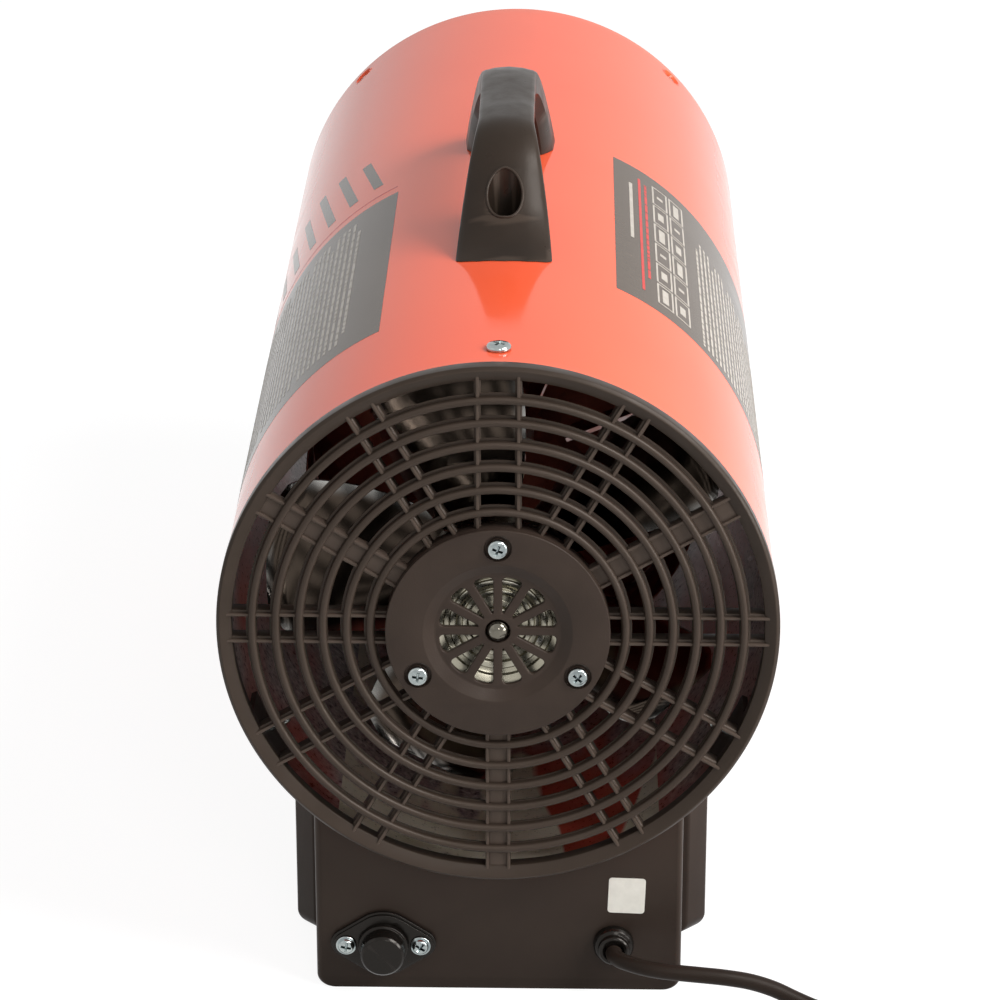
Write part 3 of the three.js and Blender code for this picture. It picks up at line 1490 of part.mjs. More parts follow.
function pinPlaces() {
  return [-PIN_SPACING / 2, PIN_SPACING / 2];
}

function plugPin(x) {
  const face = RELIEF_LENGTH + PLUG_LENGTH;
  const root = face - PIN_SOCKET_DEPTH + SEAT_GAP;
  const pin = revolve(
    [
      [0, root],
      [PIN_RADIUS, root],
      [PIN_RADIUS, face + PIN_LENGTH - 1],
      [PIN_RADIUS - 1, face + PIN_LENGTH],
      [0, face + PIN_LENGTH],
    ],
    12,
  );
  return layPlug(pin.translate([x, 0, 0]));
}

function cableGland() {
  const back = PANEL_REAR - SEAT_GAP;
  const front = PANEL_REAR - GLAND_LENGTH;
  const bore = CORD_RADIUS + RUNNING_GAP;
  const inner = PANEL_REAR + BASE_WALL + GLAND_NUT_HEIGHT + 2;
  return revolve(
    [
      [bore, front],
      [GLAND_RADIUS - 2.6, front],
      [GLAND_RADIUS - 0.9, front + 1],
      [GLAND_RADIUS, front + 3],
      [GLAND_RADIUS, back],
      [GLAND_SHANK_RADIUS, back],
      [GLAND_SHANK_RADIUS, inner],
      [bore, inner],
    ],
    16,
  ).translate([GLAND_X, 0, GLAND_Z]);
}

function glandNut() {
  const rear = PANEL_REAR + BASE_WALL + SEAT_GAP;
  const nut = rod(GLAND_NUT_RADIUS, rear, rear + GLAND_NUT_HEIGHT, 6);
  const bore = rod(GLAND_SHANK_RADIUS + SEAT_GAP, rear - 1, rear + GLAND_NUT_HEIGHT + 1, 20);
  return nut.subtract(bore).translate([GLAND_X, 0, GLAND_Z]);
}

function bottomPlate() {
  const half = BASE_WIDTH / 2 - BOTTOM_PLATE_RIM - SEAT_GAP;
  const rear = BASE_REAR + BOTTOM_PLATE_RIM + SEAT_GAP;
  const front = BASE_FRONT - BOTTOM_PLATE_RIM - SEAT_GAP;
  const low = plateUnderside();
  const plate = block(-half, half, rear, front, low, low + BOTTOM_PLATE_SHEET);
  const holes = plateScrewPlaces().map(([x, y]) =>
    rod(M4_FLAT.shank + HOLE_GAP, -8, 8, 8).rotate([90, 0, 0]).translate([x, y, low]),
  );
  return cut(plate, holes);
}

// Assembly
const heater = new THREE.Group();
heater.position.set(0, -MIDDLE_Y, AXIS_HEIGHT);

function add(name, solid, material) {
  const mesh = new THREE.Mesh(toGeometry(solid), material);
  mesh.name = name;
  heater.add(mesh);
}

add('outer_casing', outerCasing(), paint);
add('rear_grille', rearGrille(), moulding);
SCREW_ANGLES.forEach((degrees, i) => {
  const seat = CASING_RADIUS + SEAT_GAP;
  const placed = radialScrew(M4_TRUSS, GRILLE_SCREW_LENGTH, seat, GRILLE_SCREW_Y, degrees);
  add(`grille_screw_${i + 1}`, placed, zinc);
});
SCREW_ANGLES.forEach((degrees, i) => {
  const [x, z] = onCircle(HUB_SCREW_CIRCLE, degrees);
  const placed = screw(M4_PAN, HUB_SCREW_LENGTH).translate([x, HUB_SCREW_SEAT, z]);
  add(`hub_screw_${i + 1}`, placed, zinc);
});

add('motor_housing', motorHousing(), galvanised);
add('motor_shaft', motorShaft(), zinc);
add('fan', fan(), aluminium);
add('fan_nut', fanNut(), zinc);

add('combustion_cylinder', innerCylinder(), galvanised);
TAB_ANGLES.forEach((degrees, i) => {
  const seat = CASING_RADIUS + SEAT_GAP;
  const placed = radialScrew(M4_PAN, TAB_SCREW_LENGTH, seat, tabScrewY(), degrees);
  add(`cylinder_screw_${i + 1}`, placed, zinc);
});
add('burner_plate', burnerPlate(), galvanised);
add('gas_jet', gasJet(), brass);
add('spark_electrode', sparkElectrode(), ceramic);
add('thermocouple', thermocouple(), copper);
add('gas_tube', gasTube(), copper);

add('handle', handle(), satinBlack);
handleScrewYs().forEach((y, i) => {
  const seat = CASING_RADIUS + HANDLE_POCKET_FLOOR + SEAT_GAP;
  add(`handle_screw_${i + 1}`, radialScrew(M5_PAN, HANDLE_SCREW_LENGTH, seat, y, 90), zinc);
});

add('base_housing', baseHousing(), satinBlack);
add('bottom_plate', bottomPlate(), galvanised);
plateScrewPlaces().forEach(([x, y], i) => {
  const upward = screw(M4_FLAT, PLATE_SCREW_LENGTH).rotate([90, 0, 0]);
  add(`plate_screw_${i + 1}`, upward.translate([x, y, plateUnderside() - SEAT_GAP]), zinc);
});
saddleScrewPlaces().forEach(([y, degrees], i) => {
  const seat = CASING_INNER - SEAT_GAP;
  const placed = screw(M5_PAN, SADDLE_SCREW_LENGTH).rotate([90, 0, 0]).translate([0, y, seat]);
  add(`saddle_screw_${i + 1}`, turned(placed, degrees), zinc);
});

add('inlet_flange', inletFlange(), satinBlack);
[-1, 1].forEach((side, i) => {
  const seat = flangeFront() - SEAT_GAP;
  const x = INLET_X + side * FLANGE_SCREW_OFFSET;
  add(`flange_screw_${i + 1}`, screw(M4_PAN, FLANGE_SCREW_LENGTH).translate([x, seat, INLET_Z]), zinc);
});
add('inlet_nipple', inletNipple(), brass);
add('inlet_cap', inletCap(), softBlack);
add('supply_tube', supplyTube(), copper);

const valveDepth = mechanismDepth(VALVE_TRAVEL);
const valveSleeve = sleeve(VALVE_BUTTON_RADIUS, valveDepth - SEAT_GAP);
const valveButton = button(VALVE_BUTTON_RADIUS, VALVE_BUTTON_LENGTH, valveDepth + VALVE_STEM_REACH);
add('valve_body', valveBody(), brass);
add('valve_sleeve', onLeftWall(valveSleeve, VALVE_Y), softBlack);
add('valve_button', onLeftWall(valveButton, VALVE_Y), softBlack);

const igniterDepth = mechanismDepth(IGNITER_TRAVEL);
const igniterReach = igniterDepth + IGNITER_STEM_REACH;
const igniterSleeve = sleeve(IGNITER_BUTTON_RADIUS, igniterDepth - SEAT_GAP);
const igniterButton = button(IGNITER_BUTTON_RADIUS, IGNITER_BUTTON_LENGTH, igniterReach);
add('igniter_sleeve', onLeftWall(igniterSleeve, IGNITER_Y), softBlack);
add('igniter_body', igniterBody(), softBlack);
add('igniter_button', onLeftWall(igniterButton, IGNITER_Y), softBlack);

add('cable_gland', cableGland(), softBlack);
add('gland_nut', glandNut(), softBlack);
add('power_cord', powerCord(), softBlack);
add('cord_coil', cordCoil(), softBlack);
add('plug_lead', plugLead(), softBlack);
add('plug_body', plugBody(), softBlack);
pinPlaces().forEach((x, i) => add(`plug_pin_${i + 1}`, plugPin(x), nickel));

const gasHeater = new THREE.Group();
gasHeater.name = 'gas_heater';
gasHeater.add(heater);

export default gasHeater;
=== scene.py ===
import math

import bmesh
import bpy
from mathutils.bvhtree import BVHTree
from mathutils import Matrix, Vector


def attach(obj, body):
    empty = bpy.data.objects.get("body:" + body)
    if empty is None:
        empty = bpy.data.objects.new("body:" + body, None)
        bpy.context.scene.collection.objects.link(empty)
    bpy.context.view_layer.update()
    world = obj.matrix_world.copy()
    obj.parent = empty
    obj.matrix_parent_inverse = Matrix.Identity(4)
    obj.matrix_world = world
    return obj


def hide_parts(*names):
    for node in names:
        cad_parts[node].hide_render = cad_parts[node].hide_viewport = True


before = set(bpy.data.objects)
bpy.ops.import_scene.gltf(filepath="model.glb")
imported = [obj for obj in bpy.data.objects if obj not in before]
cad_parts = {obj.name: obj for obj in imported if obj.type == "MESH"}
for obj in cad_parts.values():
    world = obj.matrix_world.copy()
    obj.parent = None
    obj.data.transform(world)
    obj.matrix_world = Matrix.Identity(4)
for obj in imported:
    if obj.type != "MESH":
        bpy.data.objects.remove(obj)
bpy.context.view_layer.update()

BODY = "heater_body"

# Lengths are in millimetres in the heater's own frame until a piece is made: y = 0 is the rear
# face of the grille ring and z = 0 the axis of the casing.
MIDDLE_Y = 242.9
AXIS_HEIGHT = 162.0
FLOOR = -AXIS_HEIGHT
CASING_RADIUS = 105.3
CASING_INNER = 104.5


def place(point):
    x, y, z = point
    return Vector((x, y - MIDDLE_Y, z + AXIS_HEIGHT)) / 1000


def added(name, data):
    """New object in the scene."""
    thing = bpy.data.objects.new(name, data)
    bpy.context.scene.collection.objects.link(thing)
    return thing


def evaluated(thing):
    """The thing's mesh after its modifiers."""
    graph = bpy.context.evaluated_depsgraph_get()
    return bpy.data.meshes.new_from_object(thing.evaluated_get(graph))


# Camera
CAMERA_SPOT = (25.7, -1299.7, 599.8)
CAMERA_DIP = 22.788
CAMERA_TURN = 1.096


def make_camera():
    data = bpy.data.cameras.new("camera")
    data.lens = 137.22
    data.sensor_width = 36
    camera = added("camera", data)
    camera.location = place(CAMERA_SPOT)
    camera.rotation_euler = (math.radians(90 - CAMERA_DIP), 0, math.radians(CAMERA_TURN))
    data.clip_start = 0.05
    data.clip_end = 50
    bpy.context.scene.camera = camera


make_camera()


# Materials
def worked_out(owner, operation, first, second):
    """Result of a sum with two sockets, or with a socket and a number, in the owner's nodes."""
    node = owner.node_tree.nodes.new("ShaderNodeMath")
    node.operation = operation
    owner.node_tree.links.new(first, node.inputs[0])
    if isinstance(second, float):
        node.inputs[1].default_value = second
    else:
        owner.node_tree.links.new(second, node.inputs[1])
    return node.outputs["Value"]


class Shader:
    """Principled material with a few helpers for its nodes."""

    def __init__(self, name, color, roughness, metallic=0.0, **sockets):
        self.material = bpy.data.materials.new(name)
        self.material.use_nodes = True
        self.nodes = self.material.node_tree.nodes
        self.links = self.material.node_tree.links
        self.main = self.nodes["Principled BSDF"]
        self.main.inputs["Base Color"].default_value = linear(color)
        self.fill(self.main, {"Roughness": roughness, "Metallic": metallic, **sockets})
        self.coordinates = self.nodes.new("ShaderNodeTexCoord").outputs["Object"]

    def fill(self, node, sockets):
        for key, value in sockets.items():
            node.inputs[key.replace("_", " ")].default_value = value
        return node

    def node(self, kind, **sockets):
        return self.fill(self.nodes.new(kind), sockets)

    def noise(self, scale, detail=3.0, roughness=0.5, stretch=(1, 1, 1)):
        mapping = self.node("ShaderNodeMapping", Scale=stretch)
        noise = self.node("ShaderNodeTexNoise", Scale=scale, Detail=detail, Roughness=roughness)
        self.links.new(self.coordinates, mapping.inputs["Vector"])
        self.links.new(mapping.outputs["Vector"], noise.inputs["Vector"])
        return noise.outputs["Fac"]

    def cells(self, scale):
        cells = self.node("ShaderNodeTexVoronoi", Scale=scale)
        self.links.new(self.coordinates, cells.inputs["Vector"])
        return cells.outputs["Color"]

    def ranged(self, factor, low, high, start=0.0, end=1.0):
        """Number from start to end while the factor goes from low to high."""
        mapped = self.node("ShaderNodeMapRange", From_Min=low, From_Max=high, To_Min=start, To_Max=end)
        self.links.new(factor, mapped.inputs["Value"])
        return mapped.outputs["Result"]

    def tint(self, factor, stops):
        ramp = self.nodes.new("ShaderNodeValToRGB")
        elements = ramp.color_ramp.elements
        while len(elements) < len(stops):
            elements.new(0.5)
        for element, (position, color) in zip(elements, stops):
            element.position = position
            element.color = linear(color)
        self.links.new(factor, ramp.inputs["Fac"])
        self.links.new(ramp.outputs["Color"], self.main.inputs["Base Color"])

    def vary_roughness(self, factor, low, high):
        self.links.new(self.ranged(factor, 0.3, 0.7, low, high), self.main.inputs["Roughness"])

    def bump(self, factor, strength, distance):
        bump = self.node("ShaderNodeBump", Strength=strength, Distance=distance)
        self.links.new(factor, bump.inputs["Height"])
        self.links.new(bump.outputs["Normal"], self.main.inputs["Normal"])

    def patches(self, factor, color, low, high, under=10.0, behind=0.09):
        """Mixes in a colour where the factor is high, under a height and behind a distance."""
        parts = self.nodes.new("ShaderNodeSeparateXYZ")
        self.links.new(self.coordinates, parts.inputs["Vector"])
        amount = self.ranged(factor, low, high)
        for axis, limit in (("Y", behind), ("Z", under)):
            inside = worked_out(self.material, "LESS_THAN", parts.outputs[axis], limit)
            amount = worked_out(self.material, "MULTIPLY", amount, inside)
        self.over(amount, color)

    def over(self, share, color):
        """Mixes a colour over the base colour that is there."""
        mix = self.node("ShaderNodeMixRGB", Color2=linear(color))
        plain = self.main.inputs["Base Color"].links[0].from_socket
        self.links.new(share, mix.inputs["Fac"])
        self.links.new(plain, mix.inputs["Color1"])
        self.links.new(mix.outputs["Color"], self.main.inputs["Base Color"])

    def edge_highlight(self, color, amount):
        """Mixes in a lighter colour along convex edges: a painted highlight where the edges catch the
        light.
        """
        geometry = self.nodes.new("ShaderNodeNewGeometry")
        self.over(self.ranged(geometry.outputs["Pointiness"], 0.51, 0.58, 0.0, amount), color)


def linear(color):
    """Linear light of a screen colour in steps of 255, with an alpha of 1."""
    parts = [part / 255 for part in color]
    return (*(c / 12.92 if c <= 0.04045 else ((c + 0.055) / 1.055) ** 2.4 for c in parts), 1)


WARM = (1, 0.93, 0.86, 1)


def painted(name, base, dark, roughness, **sockets):
    shader = Shader(name, base, roughness, **sockets)
    shader.tint(shader.noise(9, 2), [(0.35, dark), (0.65, base)])
    shader.vary_roughness(shader.noise(60, 3), roughness - 0.03, roughness + 0.05)
    shader.bump(shader.noise(900, 2), 0.02, 0.0002)
    # pale pink along convex edges: a painted highlight
    shader.edge_highlight((214, 120, 92), 0.3)
    return shader.material


def moulded(name, base, light, roughness, grain=1400, strength=0.1, specular=0.25, highlight_amount=0.5):
    shader = Shader(name, base, roughness, Specular_IOR_Level=specular, Specular_Tint=WARM)
    shader.tint(shader.noise(45, 4), [(0.3, base), (0.75, light)])
    # brighter copy of the plastic's colour along convex edges: a painted highlight
    shader.edge_highlight(tuple(min(255, 1.35 * part + 15.3) for part in light), highlight_amount)
    shader.vary_roughness(shader.noise(110, 4), roughness - 0.06, roughness + 0.08)
    shader.bump(shader.noise(grain, 3), strength, 0.0002)
    return shader.material


def film(name, base, light, roughness):
    """Smooth printed or glued film."""
    shader = Shader(name, base, roughness, Specular_IOR_Level=0.15, Specular_Tint=WARM)
    shader.tint(shader.noise(300, 3), [(0.3, base), (0.7, light)])
    shader.vary_roughness(shader.noise(30, 2), roughness - 0.02, roughness + 0.02)
    shader.bump(shader.noise(1800, 2), 0.02, 0.00005)
    return shader.material


def metal(name, base, dark, roughness, scale=30, spread=0.1, grain=0.02, edge_highlight=0.4):
    shader = Shader(name, base, roughness, metallic=1.0)
    shader.tint(shader.noise(scale, 4, 0.6), [(0.3, dark), (0.7, base)])
    shader.vary_roughness(shader.noise(scale * 2, 3, 0.6), roughness - 0.6 * spread, roughness + spread)
    shader.bump(shader.noise(scale * 12, 3, 0.6), grain, 0.0001)
    # near white along convex edges: a painted highlight
    shader.edge_highlight((236, 236, 232), edge_highlight)
    return shader.material


def spangled(name, base, dark, roughness):
    shader = Shader(name, base, roughness, metallic=0.85)
    shader.tint(shader.cells(160), [(0.1, dark), (0.9, base)])
    shader.vary_roughness(shader.cells(160), roughness - 0.08, roughness + 0.1)
    shader.bump(shader.noise(600, 2), 0.05, 0.0002)
    return shader.material


def inside_paint():
    """Red overspray in patches on the bare sheet of the casing's inside, and pale bare sheet low down,
    lightened there as a painted pool of light.
    """
    shader = Shader("inside_paint", (150, 118, 112), 0.3, metallic=0.2)
    stops = [(0.36, (140, 120, 118)), (0.52, (182, 162, 158)), (0.66, (220, 206, 202))]
    shader.tint(shader.noise(420, 4, 0.7), stops)
    shader.patches(shader.noise(9, 3, 0.6, (1, 0.4, 1)), (204, 78, 56), 0.45, 0.56)
    # pale bare sheet low in the casing, lightened as a painted pool of light from the grille
    shader.patches(shader.noise(26, 2, 0.5, (1, 0.3, 1)), (238, 224, 202), 0.5, 0.53, 0.078)
    shader.vary_roughness(shader.noise(420, 4, 0.7), 0.24, 0.4)
    shader.bump(shader.noise(500, 3), 0.12, 0.0003)
    return shader.material


PAINT = painted("casing_paint", (246, 98, 62), (243, 94, 59), 0.09, Specular_IOR_Level=0.15)
INSIDE = inside_paint()
MOULDING = moulded("grille_plastic", (45, 37, 31), (52, 43, 37), 0.35, specular=0.15)
BASE_PLASTIC = moulded(
    "base_plastic", (33, 25, 21), (39, 31, 26), 0.36, grain=2200, strength=0.05, specular=0.14
)
HANDLE_PLASTIC = moulded(
    "handle_plastic", (33, 26, 21), (41, 33, 27), 0.33, grain=900, strength=0.12, specular=0.18
)
BLACK_PLASTIC = moulded(
    "black_plastic", (13, 11, 9), (19, 16, 14), 0.18, strength=0.03, specular=0.22, highlight_amount=0.3
)
CORD_RUBBER = moulded(
    "cord_rubber", (23, 17, 13), (30, 23, 19), 0.42, grain=900, strength=0.06, specular=0.1
)
ZINC = metal("zinc_steel", (164, 173, 171), (114, 124, 127), 0.15, 120, 0.08)
SHEET = spangled("galvanised_sheet", (118, 112, 106), (84, 79, 74), 0.4)
# Red-brown tint of the combustion tube and burner plate: a painted reflection of the red inside of the
# casing.
RED_REFLECTION_SHEET = spangled("red_reflection_sheet", (132, 66, 50), (88, 42, 33), 0.42)
MOTOR_STEEL = metal("motor_steel", (170, 165, 149), (142, 137, 122), 0.26, 60, 0.04, 0.01)
DOME_STEEL = metal("dome_steel", (112, 108, 98), (96, 92, 84), 0.1, 60, 0.03, 0.01, 0.1)
ALUMINIUM = metal("fan_aluminium", (84, 74, 65), (66, 57, 50), 0.12, 14, 0.03, 0.003)
BRASS = metal("gas_brass", (196, 160, 92), (150, 118, 62), 0.3, scale=60)
COPPER = metal("gas_copper", (150, 88, 60), (104, 58, 40), 0.34, scale=60)
CERAMIC = moulded("white_ceramic", (226, 222, 210), (236, 233, 224), 0.5, highlight_amount=0.1)
NICKEL = metal("pin_nickel", (214, 212, 206), (180, 178, 170), 0.16, scale=90)
DISC_PLASTIC = moulded(
    "disc_plastic", (45, 36, 31), (53, 43, 37), 0.36, strength=0.22, specular=0.17, highlight_amount=0
)
PANEL_INK = film("panel_film", (78, 66, 55), (82, 70, 59), 0.18)
PALE_INK = film("pale_print", (170, 162, 151), (184, 176, 166), 0.24)
RED_INK = film("red_print", (190, 30, 24), (202, 38, 30), 0.2)
STICKER = film("sticker_film", (202, 199, 190), (211, 208, 199), 0.4)


# Mesh helpers: every shape is (vertices, faces)
def revolved(profile, segments=128, closed=False):
    vertices, faces, rings = [], [], []
    for radius, y in profile:
        first = len(vertices)
        if radius < 1e-6:
            vertices.append((0, y, 0))
            rings.append([first])
            continue
        vertices += [(x, y, z) for x, z in circle(radius, segments)]
        rings.append(list(range(first, first + segments)))
    pairs = list(zip(rings, rings[1:]))
    if closed:
        pairs.append((rings[-1], rings[0]))
    for near, far in pairs:
        for i in range(segments):
            j = (i + 1) % segments
            corners = [near[i % len(near)], near[j % len(near)], far[j % len(far)], far[i % len(far)]]
            face = tuple(dict.fromkeys(corners))
            if len(face) > 2:
                faces.append(face)
    return vertices, faces


def lofted(rings, ends=True):
    count = len(rings[0])
    vertices = [tuple(point) for ring in rings for point in ring]
    faces = []
    last = len(vertices) - count
    for a in range(0, last, count):
        for i in range(count):
            j = (i + 1) % count
            faces.append((a + i, a + j, a + count + j, a + count + i))
    if ends:
        faces += [tuple(range(count)), tuple(range(last, last + count))]
    return vertices, faces


def moved(shape, dx=0.0, dz=0.0):
    vertices, faces = shape
    return [(x + dx, y, z + dz) for x, y, z in vertices], faces


def turned(shape, degrees):
    """Turns about the Y axis so that +Z goes to the angle, measured from +X to +Z."""
    return posed(shape, Matrix.Rotation(math.radians(90 - degrees), 3, "Y"))


def posed(shape, matrix, offset=(0, 0, 0)):
    """Turns the shape by a matrix and then moves it."""
    vertices, faces = shape
    return [tuple(matrix @ Vector(v) + Vector(offset)) for v in vertices], faces


def spun(outline, angle):
    """Turns a flat outline about its origin, from +Z towards +X."""
    across, up = math.cos(angle), math.sin(angle)
    return [(x * across + z * up, -x * up + z * across) for x, z in outline]


def on_circle(radius, degrees):
    return radius * math.cos(math.radians(degrees)), radius * math.sin(math.radians(degrees))


def circle(radius, count):
    return [on_circle(radius, 360 * k / count) for k in range(count)]


def rounded(points, radius, steps=5, closed=True):
    """Rounds the corners of a flat outline; radius may be one number or one for each corner."""
    count = len(points)
    radii = radius if isinstance(radius, (list, tuple)) else [radius] * count
    result = []
    for i, point in enumerate(points):
        corner = Vector(point)
        before = Vector(points[i - 1]) - corner
        after = Vector(points[(i + 1) % count]) - corner
        half = before.angle(after, 0) / 2
        end_point = not closed and i in (0, count - 1)
        if radii[i] <= 0 or end_point or half > math.radians(89):
            result.append(tuple(corner))
            continue
        reach = min(radii[i] / math.tan(half), 0.49 * before.length, 0.49 * after.length)
        start = corner + before.normalized() * reach
        end = corner + after.normalized() * reach
        bend = reach * math.tan(half)
        centre = corner + (before.normalized() + after.normalized()).normalized() * (bend / math.sin(half))
        for k in range(steps + 1):
            arm = (start - centre).lerp(end - centre, k / steps).normalized()
            result.append(tuple(centre + arm * bend))
    return result


def extruded(outline, y0, y1):
    """Prism along Y of an outline in x and z."""
    return lofted([[(x, y, z) for x, z in outline] for y in (y0, y1)])


def bevelled_plate(outlines, y0, y1, bevel, steps=2):
    """Flat plate of outlines in x and z between y0 and y1, holes among them, with round edges."""
    curve = bpy.data.curves.new("outline", "CURVE")
    curve.dimensions = "2D"
    curve.fill_mode = "BOTH"
    curve.extrude = (y1 - y0) / 2 - bevel
    curve.bevel_depth = bevel
    curve.bevel_resolution = steps
    curve.offset = -bevel
    for outline in outlines:
        spline = curve.splines.new("POLY")
        spline.points.add(len(outline) - 1)
        for point, (x, z) in zip(spline.points, outline):
            point.co = (x, z, 0, 1)
        spline.use_cyclic_u = True
    holder = added("outline", curve)
    mesh = evaluated(holder)
    vertices = [(v.co.x, (y0 + y1) / 2 - v.co.z, v.co.y) for v in mesh.vertices]
    faces = [tuple(p.vertices) for p in mesh.polygons]
    bpy.data.objects.remove(holder)
    bpy.data.curves.remove(curve)
    bpy.data.meshes.remove(mesh)
    return vertices, faces


def mesh_of(name, parts):
    """Mesh in metres in the shared frame; each part is a shape with the number of its material."""
    mesh = bpy.data.meshes.new(name)
    vertices, faces, numbers = [], [], []
    for (points, sides), number in parts:
        first = len(vertices)
        vertices.extend(tuple(place(p)) for p in points)
        faces.extend(tuple(first + v for v in side) for side in sides)
        numbers.extend([number] * len(sides))
    mesh.from_pydata(vertices, [], faces)
    mesh.polygons.foreach_set("material_index", numbers)
    work = bmesh.new()
    work.from_mesh(mesh)
    bmesh.ops.remove_doubles(work, verts=work.verts, dist=0.00001)
    bmesh.ops.recalc_face_normals(work, faces=work.faces)
    work.to_mesh(mesh)
    work.free()
    return mesh


def shade(mesh, angle=32):
    mesh.polygons.foreach_set("use_smooth", [True] * len(mesh.polygons))
    mesh.set_sharp_from_angle(angle=math.radians(angle))
    mesh.update()


def piece(name, parts, materials, body=BODY, replaces=(), angle=32, cutters=()):
    if not isinstance(materials, (list, tuple)):
        materials = [materials]
    if isinstance(parts[0][0], list):
        parts = [(shape, 0) for shape in parts]
    thing = added(name, mesh_of(name, parts))
    for material in materials:
        thing.data.materials.append(material)
    if cutters:
        cut(thing, cutters)
    shade(thing.data, angle)
    finish_piece(thing, body, replaces)
    return thing


def finish_piece(thing, body, replaces):
    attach(thing, body)
    if replaces:
        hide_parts(*replaces)


def cut(thing, cutters):
    """Takes the shapes out of the thing."""
    for shape in cutters:
        tool = added("tool", mesh_of("tool", [(shape, 0)]))
        modifier = thing.modifiers.new("cut", "BOOLEAN")
        modifier.operation = "DIFFERENCE"
        modifier.solver = "EXACT"
        modifier.object = tool
        mesh = evaluated(thing)
        thing.modifiers.clear()
        old, thing.data = thing.data, mesh
        bpy.data.meshes.remove(old)
        spare = tool.data
        bpy.data.objects.remove(tool)
        bpy.data.meshes.remove(spare)


# Power cord: the route of its free stretch, its coil and its lead, as in the solids
CORD_RADIUS = 3.2
GLAND_X = 45.2
GLAND_Z = FLOOR + 20.9
CORD_FLOOR = FLOOR + CORD_RADIUS + 0.2
COIL_CENTRE = (190, -75)
COIL_OUTER_RADIUS = 44
COIL_PITCH = 7
COIL_LAYER_RISE = 7
COIL_TURNS = 4.45
COIL_STEPS = 24
COIL_START_ANGLE = 72
PLUG_RADIUS = 18.5
LEAD_LENGTH = 60


def smoothstep(value, low, high):
    share = min(max((value - low) / (high - low), 0), 1)
    return share * share * (3 - 2 * share)


def coil_heading(turn):
    x, y = on_circle(1, COIL_START_ANGLE - 360 * turn)
    return Vector((y, -x, 0))


def coil_point(turn):
    half = COIL_TURNS / 2
    radius = COIL_OUTER_RADIUS - COIL_PITCH * min(turn, COIL_TURNS - turn)
    x, y = on_circle(radius, COIL_START_ANGLE - 360 * turn)
    z = CORD_FLOOR + COIL_LAYER_RISE * smoothstep(turn, half - 0.25, half + 0.25)
    return Vector((COIL_CENTRE[0] + x, COIL_CENTRE[1] + y, z))


def cord_route():
    # x, y and the drop from the gland
    free = [(GLAND_X, 7.3, 0), (45.5, 4.6, 0), (47.6, 1.4, 0), (51.4, -1.6, -0.1), (56.4, -4.2, 0)]
    free += [(62.6, -6, 0.3), (70.5, -6.8, 0.8), (80, -6.7, 1.8), (89, -6, 3.2), (98.5, -4.8, 5.6)]
    free += [(107.5, -3.9, 9.2), (116, -4.2, 13.4), (124.5, -6, 16.4)]
    route = [Vector((x, y, GLAND_Z - drop)) for x, y, drop in free]
    route += [Vector((x, y, CORD_FLOOR)) for x, y in ((134, -9), (150, -13.8), (168, -19.6))]
    stop = 2 * CORD_RADIUS + 0.3
    route += [coil_point(0) - coil_heading(0) * (stop + back) for back in (16, 0)]
    count = math.ceil(COIL_TURNS * COIL_STEPS)
    route += [coil_point(i * COIL_TURNS / count) for i in range(count + 1)]
    heading = coil_heading(COIL_TURNS)
    end = route[-1] + heading * stop
    rise = FLOOR + PLUG_RADIUS + 0.2 - end.z
    for share, height in ((0, 0), (0.12, 0.01), (0.35, 0.2), (0.65, 0.8), (0.88, 0.99), (1, 1)):
        route.append(end + heading * (LEAD_LENGTH * share) + Vector((0, 0, rise * height)))
    return route


def smooth_path(points, steps=4):
    """Dense points of a centripetal curve through the points."""
    ends = [points[0] * 2 - points[1], *points, points[-1] * 2 - points[-2]]
    path = []
    for k in range(len(points) - 1):
        p0, p1, p2, p3 = ends[k : k + 4]
        t1 = (p1 - p0).length ** 0.5
        t2 = t1 + (p2 - p1).length ** 0.5
        t3 = t2 + (p3 - p2).length ** 0.5
        for i in range(steps):
            t = t1 + (t2 - t1) * i / steps
            a1 = p0 * ((t1 - t) / t1) + p1 * (t / t1)
            a2 = p1 * ((t2 - t) / (t2 - t1)) + p2 * ((t - t1) / (t2 - t1))
            a3 = p2 * ((t3 - t) / (t3 - t2)) + p3 * ((t - t2) / (t3 - t2))
            b1 = a1 * ((t2 - t) / t2) + a2 * (t / t2)
            b2 = a2 * ((t3 - t) / (t3 - t1)) + a3 * ((t - t1) / (t3 - t1))
            path.append(b1 * ((t2 - t) / (t2 - t1)) + b2 * ((t - t1) / (t2 - t1)))
    path.append(points[-1])
    return path


def make_cord():
    path = [place(p) for p in smooth_path(cord_route())]
    curve = bpy.data.curves.new("cord_sheath", "CURVE")
    curve.dimensions = "3D"
    curve.bevel_depth = CORD_RADIUS / 1000
    curve.bevel_resolution = 6
    curve.use_fill_caps = True
    spline = curve.splines.new("POLY")
    spline.points.add(len(path) - 1)
    for point, co in zip(spline.points, path):
        point.co = (*co, 1)
    cord = added("cord_sheath", curve)
    curve.materials.append(CORD_RUBBER)
    finish_piece(cord, BODY, ("power_cord", "cord_coil", "plug_lead"))
    length = sum((b - a).length for a, b in zip(path, path[1:]))
    return cord, path[0], length


